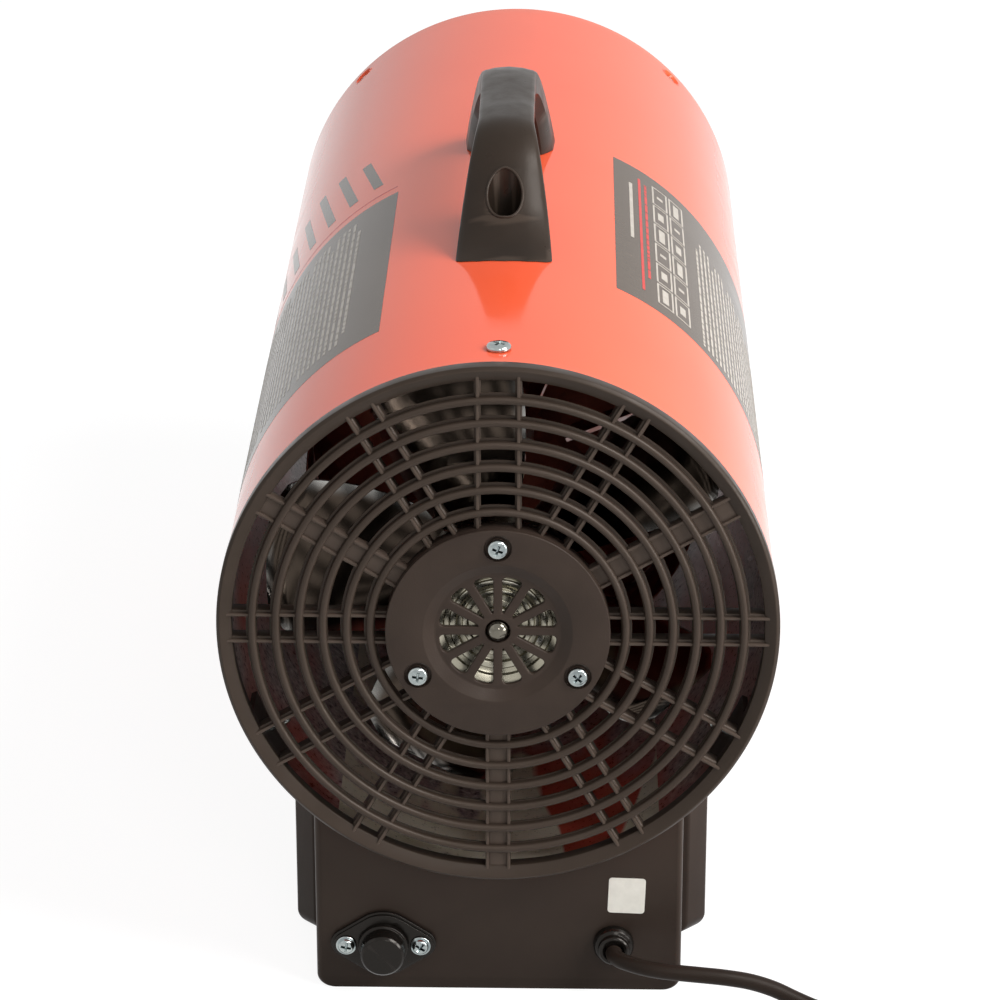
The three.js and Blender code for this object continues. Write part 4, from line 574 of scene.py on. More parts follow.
def make_plug():
    heading = coil_heading(COIL_TURNS)
    tip = cord_route()[-1] + heading * 0.3
    angle = math.atan2(heading.y, heading.x) - math.pi / 2
    turn = Matrix.Rotation(angle, 3, "Z")

    def laid(shape):
        return posed(shape, turn, tip)

    face = 68
    relief = []
    for k in range(9):
        y = 2.6 * k + 0.8
        radius = 4.6 + 2.6 * y / 28
        relief += [(radius, y), (radius, y + 1.5), (radius - 0.7, y + 1.7), (radius - 0.7, y + 2.4)]
    outline = [(10, 29), (14.5, 41), (17.5, 51), (PLUG_RADIUS, 54), (PLUG_RADIUS, face), (0, face)]
    outline = rounded(outline, [1.5, 6, 5, 3, 1.2, 0], closed=False)
    shell = revolved([(0, 0), (4.4, 0), (4.6, 0.8), *relief, (7.5, 28), *outline], 64)
    grooves = []
    for z0, z1 in ((-20.5, -16.9), (16.9, 20.5)):
        grooves.append(laid(extruded([(-4, z0), (4, z0), (4, z1), (-4, z1)], 51, face + 1)))
    name, slot = "plug_shell", "cord_sheath"
    plug = piece(name, [laid(shell)], CORD_RUBBER, replaces=("plug_body",), cutters=grooves)
    pins = []
    for k, x in enumerate((-9.5, 9.5)):
        profile = rounded([(0, 60.3), (2.4, 60.3), (2.4, 87), (0, 87)], [0, 0, 1.6, 0], closed=False)
        sleeve = rounded([(2.45, 68), (2.9, 68), (2.9, 68.5), (2.45, 68.5)], 0.2, 2)
        shapes = [laid(moved(shape, dx=x)) for shape in (revolved(profile, 32), revolved(sleeve, 32, True))]
        node = f"plug_pin_{k + 1}"
        pins.append(piece(f"pin_{k + 1}", shapes, NICKEL, replaces=(node,)))
    return [plug, *pins]


cord_piece, cord_exit, cord_length = make_cord()
plug_pieces = make_plug()


# Casing
FRONT_SCREW_ANGLES = (45, 135, 225, 315)
FRONT_SCREW_Y = 476
DIMPLE_Y = 480
CASING_REAR_Y = 6.9
CASING_FRONT_Y = 490
FILM_THICKNESS = 0.045
FILM_RADIUS = CASING_RADIUS + 0.06
PRINT_RADIUS = CASING_RADIUS + 0.12


def casing():
    profile = [(CASING_RADIUS, y) for y in range(10, 488, 6)]
    rear = [(radius, CASING_REAR_Y) for radius in (CASING_INNER, CASING_RADIUS)]
    front = [(radius, CASING_FRONT_Y) for radius in (CASING_RADIUS, CASING_INNER)]
    outer = revolved([*rear, *profile, front[0]], 256)
    inner = revolved([*front, rear[0]], 256)
    low, high = CASING_RADIUS - 0.05, CASING_RADIUS + 0.2
    seam = [(-0.35, low), (0.35, low), (0.35, high), (-0.35, high)]
    seam = turned(extruded(seam, CASING_REAR_Y + 0.1, CASING_FRONT_Y - 0.4), 270)
    hole = [(0, 3), (5.2, 3), (5.2, -3), (0, -3)]
    holes = [on_wall(hole, degrees, DIMPLE_Y) for degrees in FRONT_SCREW_ANGLES]
    parts = [(outer, 0), (inner, 1), (seam, 0)]
    piece("casing_shell", parts, [PAINT, INSIDE], replaces=("outer_casing",), cutters=holes)
    cup = [(5.6, 0.05), (4.9, 0), (3.9, -1.9), (0, -1.9), (0, -2.5), (4.4, -2.5), (5.6, -0.7)]
    cup = rounded(cup, [0, 0.6, 0.6, 0, 0, 0.6, 0], 3)
    shapes = [on_wall(cup, degrees, DIMPLE_Y, True) for degrees in FRONT_SCREW_ANGLES]
    piece("front_dimples", shapes, PAINT)


def saddle(y0, y1):
    """Round bar, a little wider than the casing, that cuts the handle and the base to its shape."""
    radius = CASING_RADIUS + 0.3
    return revolved([(0, y0), (radius, y0), (radius, y1), (0, y1)], 256)


def on_wall(profile, degrees, y, closed=False):
    """Round shape on the casing at an angle from +X to +Z; its second coordinate rises outward."""
    shape = revolved([(radius, -rise) for radius, rise in profile], 40, closed)
    return posed(shape, inward(degrees), radial(degrees, CASING_RADIUS, y))


def on_casing(angle0, angle1, y0, y1, radius=FILM_RADIUS, slant=0.0):
    """Curved thin film on the casing; angles in degrees from the top, positive to the right."""
    across = max(1, math.ceil(abs(angle1 - angle0) / 2))
    along = max(1, math.ceil(abs(slant * (y1 - y0)) / 2))
    row = along + 1
    vertices, faces = [], []
    for reach in (radius - FILM_THICKNESS, radius):
        for k in range(across + 1):
            for m in range(row):
                y = y0 + (y1 - y0) * m / along
                angle = math.radians(angle0 + (angle1 - angle0) * k / across + slant * (y - y0))
                vertices.append((reach * math.sin(angle), y, reach * math.cos(angle)))
    top = (across + 1) * row
    for k in range(across):
        for m in range(along):
            a = k * row + m
            faces.append((a, a + 1, a + row + 1, a + row))
            faces.append((top + a, top + a + row, top + a + row + 1, top + a + 1))
    rim = [k * row for k in range(across)] + [across * row + m for m in range(along)]
    rim += [k * row + along for k in range(across, 0, -1)] + list(range(along, 0, -1))
    for near, far in zip(rim, rim[1:] + rim[:1]):
        faces.append((near, far, top + far, top + near))
    return vertices, faces


def dashes(angle, width, y0, y1, seed, ink=1):
    """Row of short strokes along the casing, of unlike lengths."""
    strokes = []
    y, k = y0, seed
    while y < y1:
        reach = 2.5 + (k * 37 % 11) * 0.8
        strokes.append((on_casing(angle, angle + width, y, min(y + reach, y1), PRINT_RADIUS), ink))
        y += reach + 1.1
        k += 3
    return strokes


def printed_panels():
    parts = [
        (on_casing(-100, -26.4, 69, 240), 0),
        (on_casing(25, 100, 117, 287), 0),
        (on_casing(-100, -26.8, 247.4, 248.6), 2),
        (on_casing(29, 29.9, 190, 262, PRINT_RADIUS), 1),
        (on_casing(31.5, 32.2, 132, 274, PRINT_RADIUS), 2),
    ]
    # broken rows where small print would be
    for k in range(38):
        indent, short = 10 * ((k * 5) % 9 == 0), 13 * ((k * 7) % 5 == 0)
        parts += dashes(-36.5 - 1.6 * k, 0.75, 82 + indent, 228 - short, k)
    for k in range(34):
        parts += dashes(49 + 1.5 * k, 0.7, 124, 254 - 0.9 * k - 12 * ((k * 3) % 4 == 0), k)
    parts += dashes(33.2, 0.7, 150, 270, 5, 2)
    # two rows of empty frames
    for column in range(2):
        a0 = 35.5 + 5 * column
        for k in range(6):
            y0 = 128 + 25 * k
            y1 = y0 + 23
            a1 = a0 + 4.5
            inset = 4 + 3 * ((k + column) % 3)
            edges = [(a0, a0 + 0.5, y0, y1), (a1 - 0.5, a1, y0, y1), (a0, a1, y0, y0 + 0.9)]
            edges += [(a0, a1, y1 - 0.9, y1), (a0 + 1.4, a0 + 3.1, y0 + inset, y1 - inset)]
            parts += [(on_casing(*edge, PRINT_RADIUS), 1) for edge in edges]
    piece("printed_panels", parts, [PANEL_INK, PALE_INK, RED_INK])
    bars = []
    for k, reach in enumerate((46, 58, 64, 60, 52, 44, 38, 34)):
        a0 = -31 - 7.2 * k
        bars.append(on_casing(a0, a0 - 2.6, 262, 262 + reach, slant=-0.11))
    piece("side_bars", bars, [PANEL_INK])


# Grille
SCREW_ANGLES = (90, 210, 330)
ARM_ANGLES = (30, 150, 270)
RIB_ANGLES = (0, 60, 90, 120, 180, 210, 240, 300, 330)
STRAND_COUNT = 6
HUB_SCREW_RADIUS = 34.8
DISC_RADIUS = 42.3


def strand(radius):
    front = [(-1.5, 3.1), (-1.5, 1.3), (-1.15, 0.45), (-0.55, 0.08), (0.0, 0.0)]
    front += [(-x, y) for x, y in reversed(front[:-1])]
    back = [(2.3, 3.3), (2.4, 3.7), (1.6, 5.0), (-1.3, 5.0), (-1.85, 3.7), (-1.75, 3.3)]
    return revolved([(radius + x, y) for x, y in front + back], 160, True)


def spoke(section, degrees, offset):
    """Bar from the disc to the ring."""
    ends = (DISC_RADIUS - 1.8, 103.2)
    return turned(lofted([[(offset + x, y, z) for x, y in section] for z in ends]), degrees)


def grille():
    section = [(100.3, 2.3), (104.7, 0.0), (106.0, 1.2), (106.0, 6.6), (104.2, 6.6), (104.2, 11)]
    section += [(102.8, 11), (102.8, 7.5), (100.3, 7.5)]
    ring = rounded(section, [0.4, 0.6, 0.5, 0.3, 0.2, 0.4, 0.4, 0.2, 0.3], 3)
    shapes = [revolved(ring, 256, True)]
    tab = [on_circle(104.1, 90 + turn) for turn in range(-7, 8)]
    tab += [on_circle(101.9, 90 - turn) for turn in range(-7, 8)]
    shapes += [turned(extruded(tab, 6.8, 30), degrees) for degrees in SCREW_ANGLES]
    shapes += [strand(48.1 + 8.9 * k) for k in range(STRAND_COUNT)]
    rib = [(-0.6, 1.3), (0.6, 1.3), (0.7, 2.9), (1.3, 3.3), (1.0, 9.6), (-1.0, 9.6), (-1.3, 3.3)]
    rib = rounded([*rib, (-0.7, 2.9)], [0.3, 0.3, 0, 0.25, 0.2, 0.2, 0.25, 0], 2)
    for degrees in RIB_ANGLES:
        offset = 7.6 if degrees in SCREW_ANGLES else 5.4
        shapes += [spoke(rib, degrees, -offset), spoke(rib, degrees, offset)]
    arm = rounded([(-4.8, 2.6), (4.8, 2.6), (4.8, 6.4), (-4.8, 6.4)], [0.5, 0.5, 0.2, 0.2], 2)
    ridge = rounded([(-0.6, 1.6), (0.6, 1.6), (0.7, 3.0), (-0.7, 3.0)], [0.3, 0.3, 0, 0], 2)
    for degrees in ARM_ANGLES:
        shapes += [spoke(arm, degrees, 0), spoke(ridge, degrees, -4.1), spoke(ridge, degrees, 4.1)]
    piece("grille_frame", shapes, MOULDING, replaces=("rear_grille",), angle=40)


def vent_outline(middle):
    """Slot between two spokes of the vent, with round corners."""
    half, spoke_half, low, high = 15, 1.7, 7.6, 22.3
    corners = []
    for radius, side in ((low, -1), (low, 1), (high, 1), (high, -1)):
        angle = math.radians(half) - math.asin(spoke_half / radius)
        corners.append((side * radius * math.sin(angle), radius * math.cos(angle)))
    corners.insert(3, (0, high + 0.25))
    outline = rounded(corners, [0.7, 0.7, 2.1, 12, 2.1], 6)
    return spun(outline, math.radians(90 - middle))


def hub_disc():
    """Middle disc: rim with screw recesses, a dished slope and the slotted vent."""
    rim_outline = [circle(DISC_RADIUS, 192), circle(28.2, 128)]
    recesses = []
    for degrees in SCREW_ANGLES:
        x, z = on_circle(HUB_SCREW_RADIUS, degrees)
        rim_outline.append([(x + px, z + pz) for px, pz in circle(5.1, 40)])
        well = [(1.9, -1.75), (3.9, -1.75), (4.1, -0.7), (5.3, -0.7), (5.3, 0.4), (1.9, 0.4)]
        recesses.append(moved(revolved(rounded(well, 0.1, 2), 40, True), dx=x, dz=z))
    rim = bevelled_plate(rim_outline, -2.2, 0.6, 0.45, 3)
    wall = revolved(rounded([(40.0, 0.2), (42.25, 0.2), (42.25, 6.2), (40.0, 6.2)], 0.2, 2), 160, True)
    slope = [(28.9, -2.2), (28.2, -2.18), (23.9, 0.36), (22.8, 0.4), (22.8, 2.4), (28.9, 0.9)]
    slope = revolved(rounded(slope, [0, 1.6, 1.4, 0, 0, 0], 5), 160, True)
    slots = [circle(23.6, 128), circle(4.7, 48), *(vent_outline(15 + 30 * k) for k in range(12))]
    vent = bevelled_plate(slots, 0.38, 2.5, 0.4, 3)
    piece("hub_disc", [rim, wall, slope, vent, *recesses], DISC_PLASTIC, angle=40)


# Screws
SHANK = 1.95
LARGE_SHANK = 2.4
PAN = [(0, 1), (0.4, 0.985), (0.68, 0.93), (0.86, 0.82), (0.96, 0.6), (1, 0.3), (0.99, 0), (0, 0)]
WASHER = [(0, 1), (0.4, 0.97), (0.6, 0.88), (0.72, 0.66), (0.76, 0.4), (0.8, 0.34)]
WASHER += [(0.9, 0.33), (0.97, 0.26), (1, 0.14), (1, 0), (0, 0)]


def screw_head(radius, height, shape=PAN):
    """Head that rises to -Y from its seat at y = 0, with a cross recess; the shape is in shares."""
    profile = [(radius * across, -height * rise) for across, rise in shape]
    head = revolved(profile, 64)
    work = added("head", mesh_of("head", [(head, 0)]))
    arm, slot = 0.56 * radius, 0.13 * radius
    tools = []
    for across, up in ((arm, slot), (slot, arm)):
        rings = []
        for y, grow in ((-height - 0.3, 1.1), (-0.3 * height, 0.45)):
            a, b = across * grow, up * grow
            rings.append([(-a, y, -b), (a, y, -b), (a, y, b), (-a, y, b)])
        tools.append(lofted(rings))
    cut(work, tools)
    back = place((0, 0, 0))
    vertices = [tuple((v.co - back) * 1000) for v in work.data.vertices]
    faces = [tuple(p.vertices) for p in work.data.polygons]
    bpy.data.objects.remove(work)
    return vertices, faces


def screw(name, head, shank, length, position, spin, tilt=None):
    """Screw whose head is seated at the position; tilt is a matrix from +Y to the shank's way."""
    body = revolved([(0, -0.2), (shank, -0.2), (shank, length - 1), (shank - 0.6, length), (0, length)], 24)
    matrix = (tilt or Matrix.Identity(3)) @ Matrix.Rotation(math.radians(spin), 3, "Y")
    shapes = [posed(shape, matrix, position) for shape in (head, body)]
    piece(f"{name}_bright", shapes, ZINC, replaces=(name,), angle=38)


def inward(degrees):
    """Turns +Y to the way from outside to the casing's axis at an angle from +X to +Z."""
    way = Vector(radial(degrees, -1, 0))
    return Vector((0, 1, 0)).rotation_difference(way).to_matrix()


def radial(degrees, radius, y):
    x, z = on_circle(radius, degrees)
    return x, y, z


def screws():
    pan = screw_head(3.9, 2.3)
    truss = screw_head(4.7, 2.1)
    large = screw_head(4.6, 2.8)
    flat = screw_head(3.9, 1.2)
    washer = screw_head(4.05, 2.3, WASHER)
    for k, degrees in enumerate(SCREW_ANGLES):
        x, z = on_circle(HUB_SCREW_RADIUS, degrees)
        screw(f"hub_screw_{k + 1}", pan, SHANK, 14, (x, -1.9, z), (20, 8, 41)[k])
        seat = radial(degrees, CASING_RADIUS + 0.3, 21.3)
        screw(f"grille_screw_{k + 1}", truss, SHANK, 12, seat, 30, inward(degrees))
    for k, degrees in enumerate(FRONT_SCREW_ANGLES):
        seat = radial(degrees, CASING_RADIUS - 1.5, FRONT_SCREW_Y)
        screw(f"cylinder_screw_{k + 1}", flat, SHANK, 8, seat, 15, inward(degrees))
    for k, y in enumerate(HANDLE_SCREW_Y):
        seat = radial(90, CASING_RADIUS + 4.3, y)
        screw(f"handle_screw_{k + 1}", large, LARGE_SHANK, 12, seat, 25, inward(90))
    for k, x in enumerate((INLET[0] - FLANGE_REACH, INLET[0] + FLANGE_REACH)):
        screw(f"flange_screw_{k + 1}", washer, SHANK, 9, (x, 11.8, INLET[1]), (12, 33)[k])
    for k, (x, y) in enumerate(((-64, 94), (64, 94), (-64, 311), (64, 311))):
        screw(f"plate_screw_{k + 1}", flat, SHANK, 8, (x, y, FLOOR + 1.6), 20, inward(270))
    for k, y in enumerate((92, 313)):
        screw(f"saddle_screw_{k + 1}", large, LARGE_SHANK, 12, (0, y, -104.2), 0, inward(90))


# Motor, fan and burner
def motor():
    dome = [(0, -2.1), (1.8, -1.75), (3.3, -0.7), (4.3, 0.9), (4.6, 2.6), (4.6, 5.4), (0, 5.4)]
    dome_shape = revolved(rounded(dome, [0, 2.4, 2.4, 2.0, 1.0, 0, 0], 5, closed=False), 64)
    steps = [(0, 3.4), (6.0, 4.2), (7.4, 4.6), (7.4, 7.3), (9.0, 8.8), (11.4, 9.2), (11.7, 8.3)]
    steps += [(13.4, 8.1), (13.8, 9.1), (15.6, 8.4), (16.0, 7.2), (18.2, 6.4), (18.6, 7.5), (20.4, 6.7)]
    steps += [(20.8, 5.6), (23.6, 4.5), (24.6, 4.1), (25.8, 4.6), (26.2, 8.3), (39.6, 8.3), (39.6, 9.8)]
    steps += [(31.0, 9.8), (31.0, 44.8), (30.0, 45.8), (11.0, 45.8), (11.0, 50.8), (4.35, 50.8)]
    steps += [(4.35, 20.8), (0, 20.8)]
    radii = [0, 0.6, 0.4] + [0.35] * (len(steps) - 8) + [0.5, 0.4, 0.2, 0, 0]
    can = revolved(rounded(steps, radii, 3, closed=False), 128)
    shapes, materials = [(can, 0), (dome_shape, 1)], [MOTOR_STEEL, DOME_STEEL]
    piece("motor_can", shapes, materials, replaces=("motor_housing",), angle=50)


BLADE_COUNT = 5
FAN_START_ANGLE = 34
BLADE_ROOT = 13.0
BLADE_TIP = 92
BLADE_MIDDLE_Y = 62.3
BLADE_HALF_SHEET = 0.6


def blade(degrees):
    """Swept sheet blade, laid out as in the solid but with a finer skin and round corners."""
    stations, across = 20, 14
    rings = []
    for i in range(stations + 1):
        share = i / stations
        radius = BLADE_ROOT + (BLADE_TIP - BLADE_ROOT) * share
        pitch = math.radians(38 - 18 * share)
        chord = 26 + 36 * math.sin(share * 1.9)
        if share > 0.9:
            chord *= math.sqrt(max(0.02, 1 - ((share - 0.9) / 0.1) ** 2 * 0.55))
        front, back = [], []
        for j in range(across + 1):
            u = j / across - 0.5
            bow = 0.09 * chord * (1 - 4 * u * u)
            tangent = u * chord * math.cos(pitch) - bow * math.sin(pitch)
            axial = u * chord * math.sin(pitch) + bow * math.cos(pitch)
            swing = tangent / max(radius, 23)
            x, z = radius * math.sin(swing), radius * math.cos(swing)
            front.append((x, BLADE_MIDDLE_Y + axial - BLADE_HALF_SHEET, z))
            back.append((x, BLADE_MIDDLE_Y + axial + BLADE_HALF_SHEET, z))
        rings.append(front + back[::-1])
    return turned(lofted(rings), degrees)


def fan():
    hub_profile = rounded([(4.3, 55.8), (15, 55.8), (15, 68.8), (4.3, 68.8)], [0.3, 1.6, 1.2, 0.3], 4)
    shapes = [revolved(hub_profile, 64, True)]
    shapes += [blade(FAN_START_ANGLE + 360 / BLADE_COUNT * k) for k in range(BLADE_COUNT)]
    name, body = "fan_rotor_blades", "fan_rotor"
    piece(name, shapes, ALUMINIUM, body=body, replaces=("fan",), angle=50)


def combustion_cylinder():
    inner, outer, foot, half, sheet = 81.2, 82, 104.0, 7, 1.2
    rear, front = 150, 484
    wall = rounded([(inner, rear), (outer, rear), (outer, front), (inner, front)], 0.3, 2)
    hem = rounded([(80.4, 478), (83.0, 478), (83.0, front), (80.4, front)], 0.8, 3)
    shapes = [revolved(wall, 192, True), revolved(hem, 192, True)]
    for end, direction, angles in ((front, -1, FRONT_SCREW_ANGLES), (rear, 1, ARM_ANGLES)):
        for degrees in angles:
            for low, reach in ((inner + 0.2, sheet), (foot - sheet, 16)):
                plan = [(-half, low), (half, low), (half, foot), (-half, foot)]
                y0, y1 = sorted((end, end + direction * reach))
                shapes.append(turned(extruded(plan, y0, y1), degrees))
    piece("combustion_tube", shapes, RED_REFLECTION_SHEET, replaces=("combustion_cylinder",))


# Handle
HANDLE_SCREW_Y = (143.5, 270.5)
POCKET_RADIUS = 7
LEG_TOP = 149


def handle_half_width(z):
    drop = min(max((LEG_TOP - z) / (LEG_TOP - CASING_RADIUS), 0), 1)
    return 11.1 + 8.1 * drop**0.72


def handle():
    centres = [(116.5, 93), (123.8, 97.3), (132.8, 102.8), (142.9, 111.6), (150.1, 120.3), (156.8, 128.5)]
    centres += [(163.5, 135.9), (169.5, 139.9), (178, 141.1), (205, 141.4), (232, 141.7), (245, 139.6)]
    centres += [(256, 131.6), (266, 120.5), (274, 108.6), (280, 96)]
    path = smooth_path([Vector((0, y, z)) for y, z in centres], 6)
    rings = []
    for k, centre in enumerate(path):
        along = (path[min(k + 1, len(path) - 1)] - path[max(k - 1, 0)]).normalized()
        normal = Vector((0, -along.z, along.y))
        outer = centre + normal * 8
        half = handle_half_width(max(outer.z, CASING_RADIUS))
        thick = 8 + 1.4 * smoothstep(LEG_TOP - outer.z, 5, 40)
        low = smoothstep(LEG_TOP - outer.z, 18, 44)
        heel = thick + 8 * low
        crown = half * half / 66 * (1 - 0.42 * low)
        section = [(0, thick), (0.5 * half, thick - crown * 0.25), (0.86 * half, thick - crown * 0.74)]
        section += [(0.965 * half, thick - crown - 0.1), (half, thick - crown - 0.9), (half, -0.4 * heel)]
        section += [(half - 3.4, 0.8 - heel), (half - 3.8, 0.2 - heel), (half - 4.6, -heel)]
        ring = section + [(-x, up) for x, up in reversed(section[1:])]
        rings.append([tuple(centre + normal * up + Vector((x, 0, 0))) for x, up in ring])
    solid = lofted(rings)
    tools = [saddle(60, 350)]
    for y in HANDLE_SCREW_Y:
        bottom = [(0, 109.3), (POCKET_RADIUS - 0.4, 109.3), (POCKET_RADIUS, 112)]
        pocket = revolved([*bottom, (POCKET_RADIUS, 165), (0, 165)], 48)
        tools.append(posed(pocket, Matrix.Rotation(math.pi / 2, 3, "X"), (0, y, 0)))
    name, slot = "handle_grip", "base_plastic"
    grip = piece(name, [solid], HANDLE_PLASTIC, replaces=("handle",), cutters=tools, angle=38)
    rim = grip.modifiers.new("rim", "BEVEL")
    rim.width = 0.0005
    rim.segments = 2
    rim.limit_method = "ANGLE"
    rim.angle_limit = math.radians(38)
    lips = [pocket_lip(solid, y) for y in HANDLE_SCREW_Y]
    piece("pocket_lips", lips, HANDLE_PLASTIC, angle=60)


def pocket_lip(solid, middle):
    """Raised round edge where a screw pocket meets the handle's outer face."""
    tree = BVHTree.FromPolygons([Vector(v) for v in solid[0]], solid[1])
    count, around, thick = 72, 10, 0.6
    points, normals = [], []
    for x, y in circle(POCKET_RADIUS + 0.15, count):
        start = Vector((x, middle + y, 300))
        spot, normal, _, _ = tree.ray_cast(start, Vector((0, 0, -1)))
        points.append(spot)
        normals.append(normal if normal.z > 0 else -normal)
    rings = []
    for k in range(count):
        along = (points[(k + 1) % count] - points[k - 1]).normalized()
        side = along.cross(normals[k]).normalized()
        rings.append([points[k] + across * side + up * normals[k] for across, up in circle(thick, around)])
    return lofted([*rings, rings[0]], ends=False)


# Base
BASE_TOP = -60


def base_block(half, y0, y1, corner, edge, chamfer=0.0):
    """Block with round low edges and round or chamfered upright edges, made of stacked plans."""
    steps = 10
    rings = []
    for k in range(steps + 2):
        angle = math.pi / 2 * min(k / steps, 1)
        x = half - corner * (1 - math.sin(angle))
        z = BASE_TOP if k > steps else FLOOR + corner * (1 - math.cos(angle))
        plan = [(-x, y0), (x, y0), (x, y1), (-x, y1)]
        if chamfer:
            plan = [(-x, y0 + chamfer), (-x + chamfer, y0), (x - chamfer, y0), (x, y0 + chamfer)]
            plan += [(x, y1 - chamfer), (x - chamfer, y1), (-x + chamfer, y1), (-x, y1 - chamfer)]
        rings.append([(px, py, z) for px, py in rounded(plan, edge, 8)])
    return lofted(rings)


def base():
    bed = saddle(0, 400)
    hatch = [(-69, 74), (69, 74), (69, 331), (-69, 331)]
    recess = lofted([[(x, y, z) for x, y in hatch] for z in (FLOOR - 1, FLOOR + 3.7)])
    stand = base_block(half=83, y0=60, y1=345, corner=5.5, edge=2.2, chamfer=7.5)
    box = base_block(half=71.8, y0=15, y1=67, corner=5, edge=2.5)
    for name, block, nodes, tools in (
        ("base_stand", stand, ("base_housing",), [bed, recess]),
        ("connection_box", box, (), [bed]),
    ):
        piece(name, [block], BASE_PLASTIC, replaces=nodes, cutters=tools, angle=30)


# Inlet and gland
INLET = (-45.2, FLOOR + 20.6)
FLANGE_REACH = 14.6


def lozenge(radius, end_radius, steps=14):
    """Outline of two small arcs at the screws that two large ones about the middle join."""
    lean = math.degrees(math.asin((radius - end_radius) / FLANGE_REACH))
    arcs = [(0, radius, 90 - lean, 90 + lean), (-FLANGE_REACH, end_radius, 90 + lean, 270 - lean)]
    arcs += [(0, radius, 270 - lean, 270 + lean), (FLANGE_REACH, end_radius, 270 + lean, 450 - lean)]
    points = []
    for centre, r, start, end in arcs:
        for k in range(steps):
            x, z = on_circle(r, start + (end - start) * k / steps)
            points.append((centre + x, z))
    return points


def inlet():
    x, z = INLET
    lower = bevelled_plate([lozenge(14, 6), circle(7.5, 48)], 13.1, 14.7, 0.35)
    middle = bevelled_plate([lozenge(13.1, 5.1), circle(7.5, 48)], 12.1, 13.6, 0.3)
    shapes = [moved(shape, dx=x, dz=z) for shape in (lower, middle)]
    piece("inlet_plate", shapes, BLACK_PLASTIC, replaces=("inlet_flange",), angle=40)
    points = [(0, 2.2), (7.6, 2.2), (8.6, 3.2), (8.75, 9.2), (9.7, 9.6), (9.7, 11.8)]
    points += [(7.5, 11.8), (7.5, 3.8), (0, 3.8)]
    cap = rounded(points, [0, 0.7, 0.7, 0.3, 0.5, 0.3, 0.2, 0.5, 0], 4, closed=False)
    cover = [moved(revolved(cap, 96), dx=x, dz=z)]
    name, body = "inlet_cap_cover", "inlet_cap"
    piece(name, cover, BLACK_PLASTIC, body=body, replaces=("inlet_cap",))


def gland():
    points = [(3.7, 8.8), (4.2, 7.8), (5.3, 7.6), (6.1, 8.3), (6.3, 9.6), (5.9, 10.1), (6.1, 10.6)]
    points += [(7.2, 11.2), (7.9, 12.4), (8.0, 14.7), (7.0, 14.7), (7.0, 24.5), (3.7, 24.5)]
    radii = [0.3, 0.5, 0.7, 0.6, 0.4, 0.2, 0.4, 0.8, 0.6, 0.2, 0, 0, 0]
    profile = rounded(points, radii, 4)
    shape = moved(revolved(profile, 64, True), dx=GLAND_X, dz=GLAND_Z)
    piece("gland_body", [shape], BLACK_PLASTIC, replaces=("cable_gland",), angle=50)


def sticker():
    outline = rounded([(-7.2, -7.7), (7.2, -7.7), (7.2, 7.7), (-7.2, 7.7)], 1.3, 5)
    label = moved(extruded(spun(outline, math.radians(2)), 14.9, 15.02), dx=50.1, dz=-120)
    piece("blank_sticker", [label], STICKER)


# Nodes that are shown as packed
NODE_MATERIALS = (
    (ZINC, ("motor_shaft", "fan_nut")),
    (RED_REFLECTION_SHEET, ("burner_plate",)),
    (CERAMIC, ("spark_electrode",)),
    (SHEET, ("bottom_plate",)),
    (BRASS, ("gas_jet", "inlet_nipple", "valve_body")),
    (COPPER, ("thermocouple", "gas_tube", "supply_tube")),
    (BLACK_PLASTIC, ("valve_sleeve", "valve_button", "igniter_sleeve")),
    (BLACK_PLASTIC, ("igniter_body", "igniter_button", "gland_nut")),
)


def dress_nodes():
    pairs = [(material, name) for material, names in NODE_MATERIALS for name in names]
    for material, name in pairs:
        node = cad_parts[name]
        mesh = node.data
        mesh.materials.clear()
        mesh.materials.append(material)
        attribute = mesh.attributes.get("custom_normal")
        if attribute:
            mesh.attributes.remove(attribute)
        mesh.polygons.foreach_set("use_smooth", [True] * len(mesh.polygons))
        weld = node.modifiers.new("weld", "WELD")
        weld.merge_threshold = 0.00002
        split = node.modifiers.new("split", "EDGE_SPLIT")
        split.split_angle = math.radians(35)


casing()
printed_panels()
grille()
hub_disc()
screws()
motor()
fan()
combustion_cylinder()
handle()
base()
inlet()
gland()
sticker()
dress_nodes()


# Floor, background and light
def show(owner, plain, seen, surface):
    """Gives one shader to camera, glossy and transmission rays and the plain one to the others."""
    nodes, links = owner.node_tree.nodes, owner.node_tree.links
    path = nodes.new("ShaderNodeLightPath")
    total = path.outputs["Is Camera Ray"]
    for name in ("Is Glossy Ray", "Is Transmission Ray"):
        total = worked_out(owner, "MAXIMUM", total, path.outputs[name])
    mix = nodes.new("ShaderNodeMixShader")
    links.new(total, mix.inputs["Fac"])
    links.new(plain, mix.inputs[1])
    links.new(seen, mix.inputs[2])
    links.new(mix.outputs["Shader"], surface)


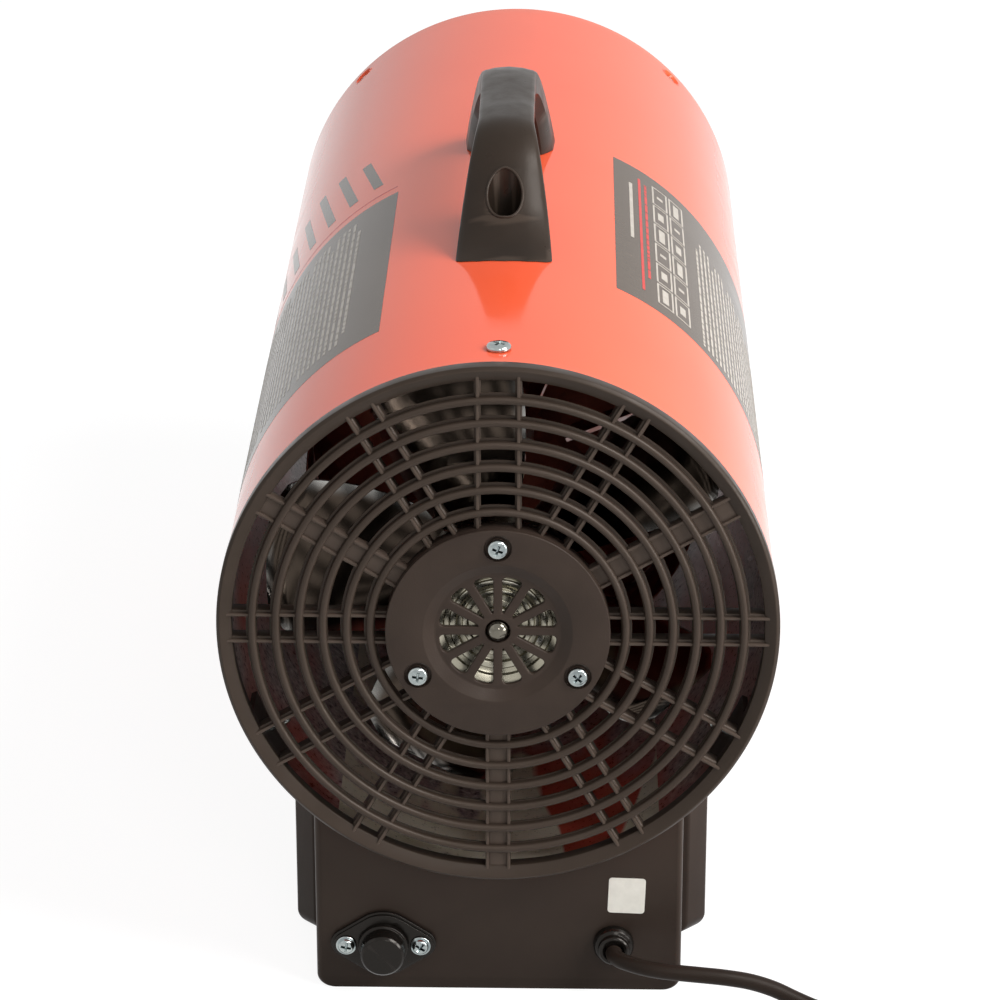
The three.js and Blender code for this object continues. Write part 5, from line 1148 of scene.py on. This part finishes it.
def backdrop_material():
    """Pale floor; seen directly it is lifted to white and keeps the shadow."""
    material = bpy.data.materials.new("backdrop")
    material.use_nodes = True
    nodes, links = material.node_tree.nodes, material.node_tree.links
    nodes.clear()
    output = nodes.new("ShaderNodeOutputMaterial")
    floor = nodes.new("ShaderNodeBsdfDiffuse")
    floor.inputs["Color"].default_value = (0.8, 0.8, 0.8, 1)
    faint = nodes.new("ShaderNodeBsdfDiffuse")
    faint.inputs["Color"].default_value = (0.2, 0.2, 0.2, 1)
    glow = nodes.new("ShaderNodeEmission")
    glow.inputs["Strength"].default_value = 0.9
    white = nodes.new("ShaderNodeAddShader")
    links.new(faint.outputs["BSDF"], white.inputs[0])
    links.new(glow.outputs["Emission"], white.inputs[1])
    show(material, floor.outputs["BSDF"], white.outputs["Shader"], output.inputs["Surface"])
    return material


def studio_world():
    world = bpy.data.worlds.new("studio")
    bpy.context.scene.world = world
    world.use_nodes = True
    nodes = world.node_tree.nodes
    light = nodes["Background"]
    light.inputs["Color"].default_value = (1, 1, 1, 1)
    light.inputs["Strength"].default_value = 0.36
    white = nodes.new("ShaderNodeBackground")
    white.inputs["Color"].default_value = (1, 1, 1, 1)
    surface = nodes["World Output"].inputs["Surface"]
    show(world, light.outputs["Background"], white.outputs["Background"], surface)


def stage():
    mesh = bpy.data.meshes.new("floor")
    reach = 30
    corners = [(-reach, -reach, 0), (reach, -reach, 0), (reach, reach, 0), (-reach, reach, 0)]
    mesh.from_pydata(corners, [], [(0, 1, 2, 3)])
    floor = added("floor", mesh)
    mesh.materials.append(backdrop_material())
    studio_world()
    lamp("key", (1.55, -0.95, 1.75), size=1.3, power=62)
    lamp("fill", (-1.6, -1.0, 1.3), size=1.4, power=1.5)
    lamp("side", (0.9, -0.6, 0.3), size=0.35, power=4.5)
    lamp("rear", (0.4, -1.9, 1.2), size=0.5, power=5)


def lamp(name, position, size, power):
    data = bpy.data.lights.new(name, "AREA")
    data.shape = "DISK"
    data.size = size
    data.energy = power
    light = added(name, data)
    light.location = position
    aim = Vector((0, 0, 0.15)) - Vector(position)
    light.rotation_euler = aim.to_track_quat("-Z", "Y").to_euler()


stage()
bpy.context.scene.view_settings.view_transform = "Standard"

bpy.context.view_layer.update()
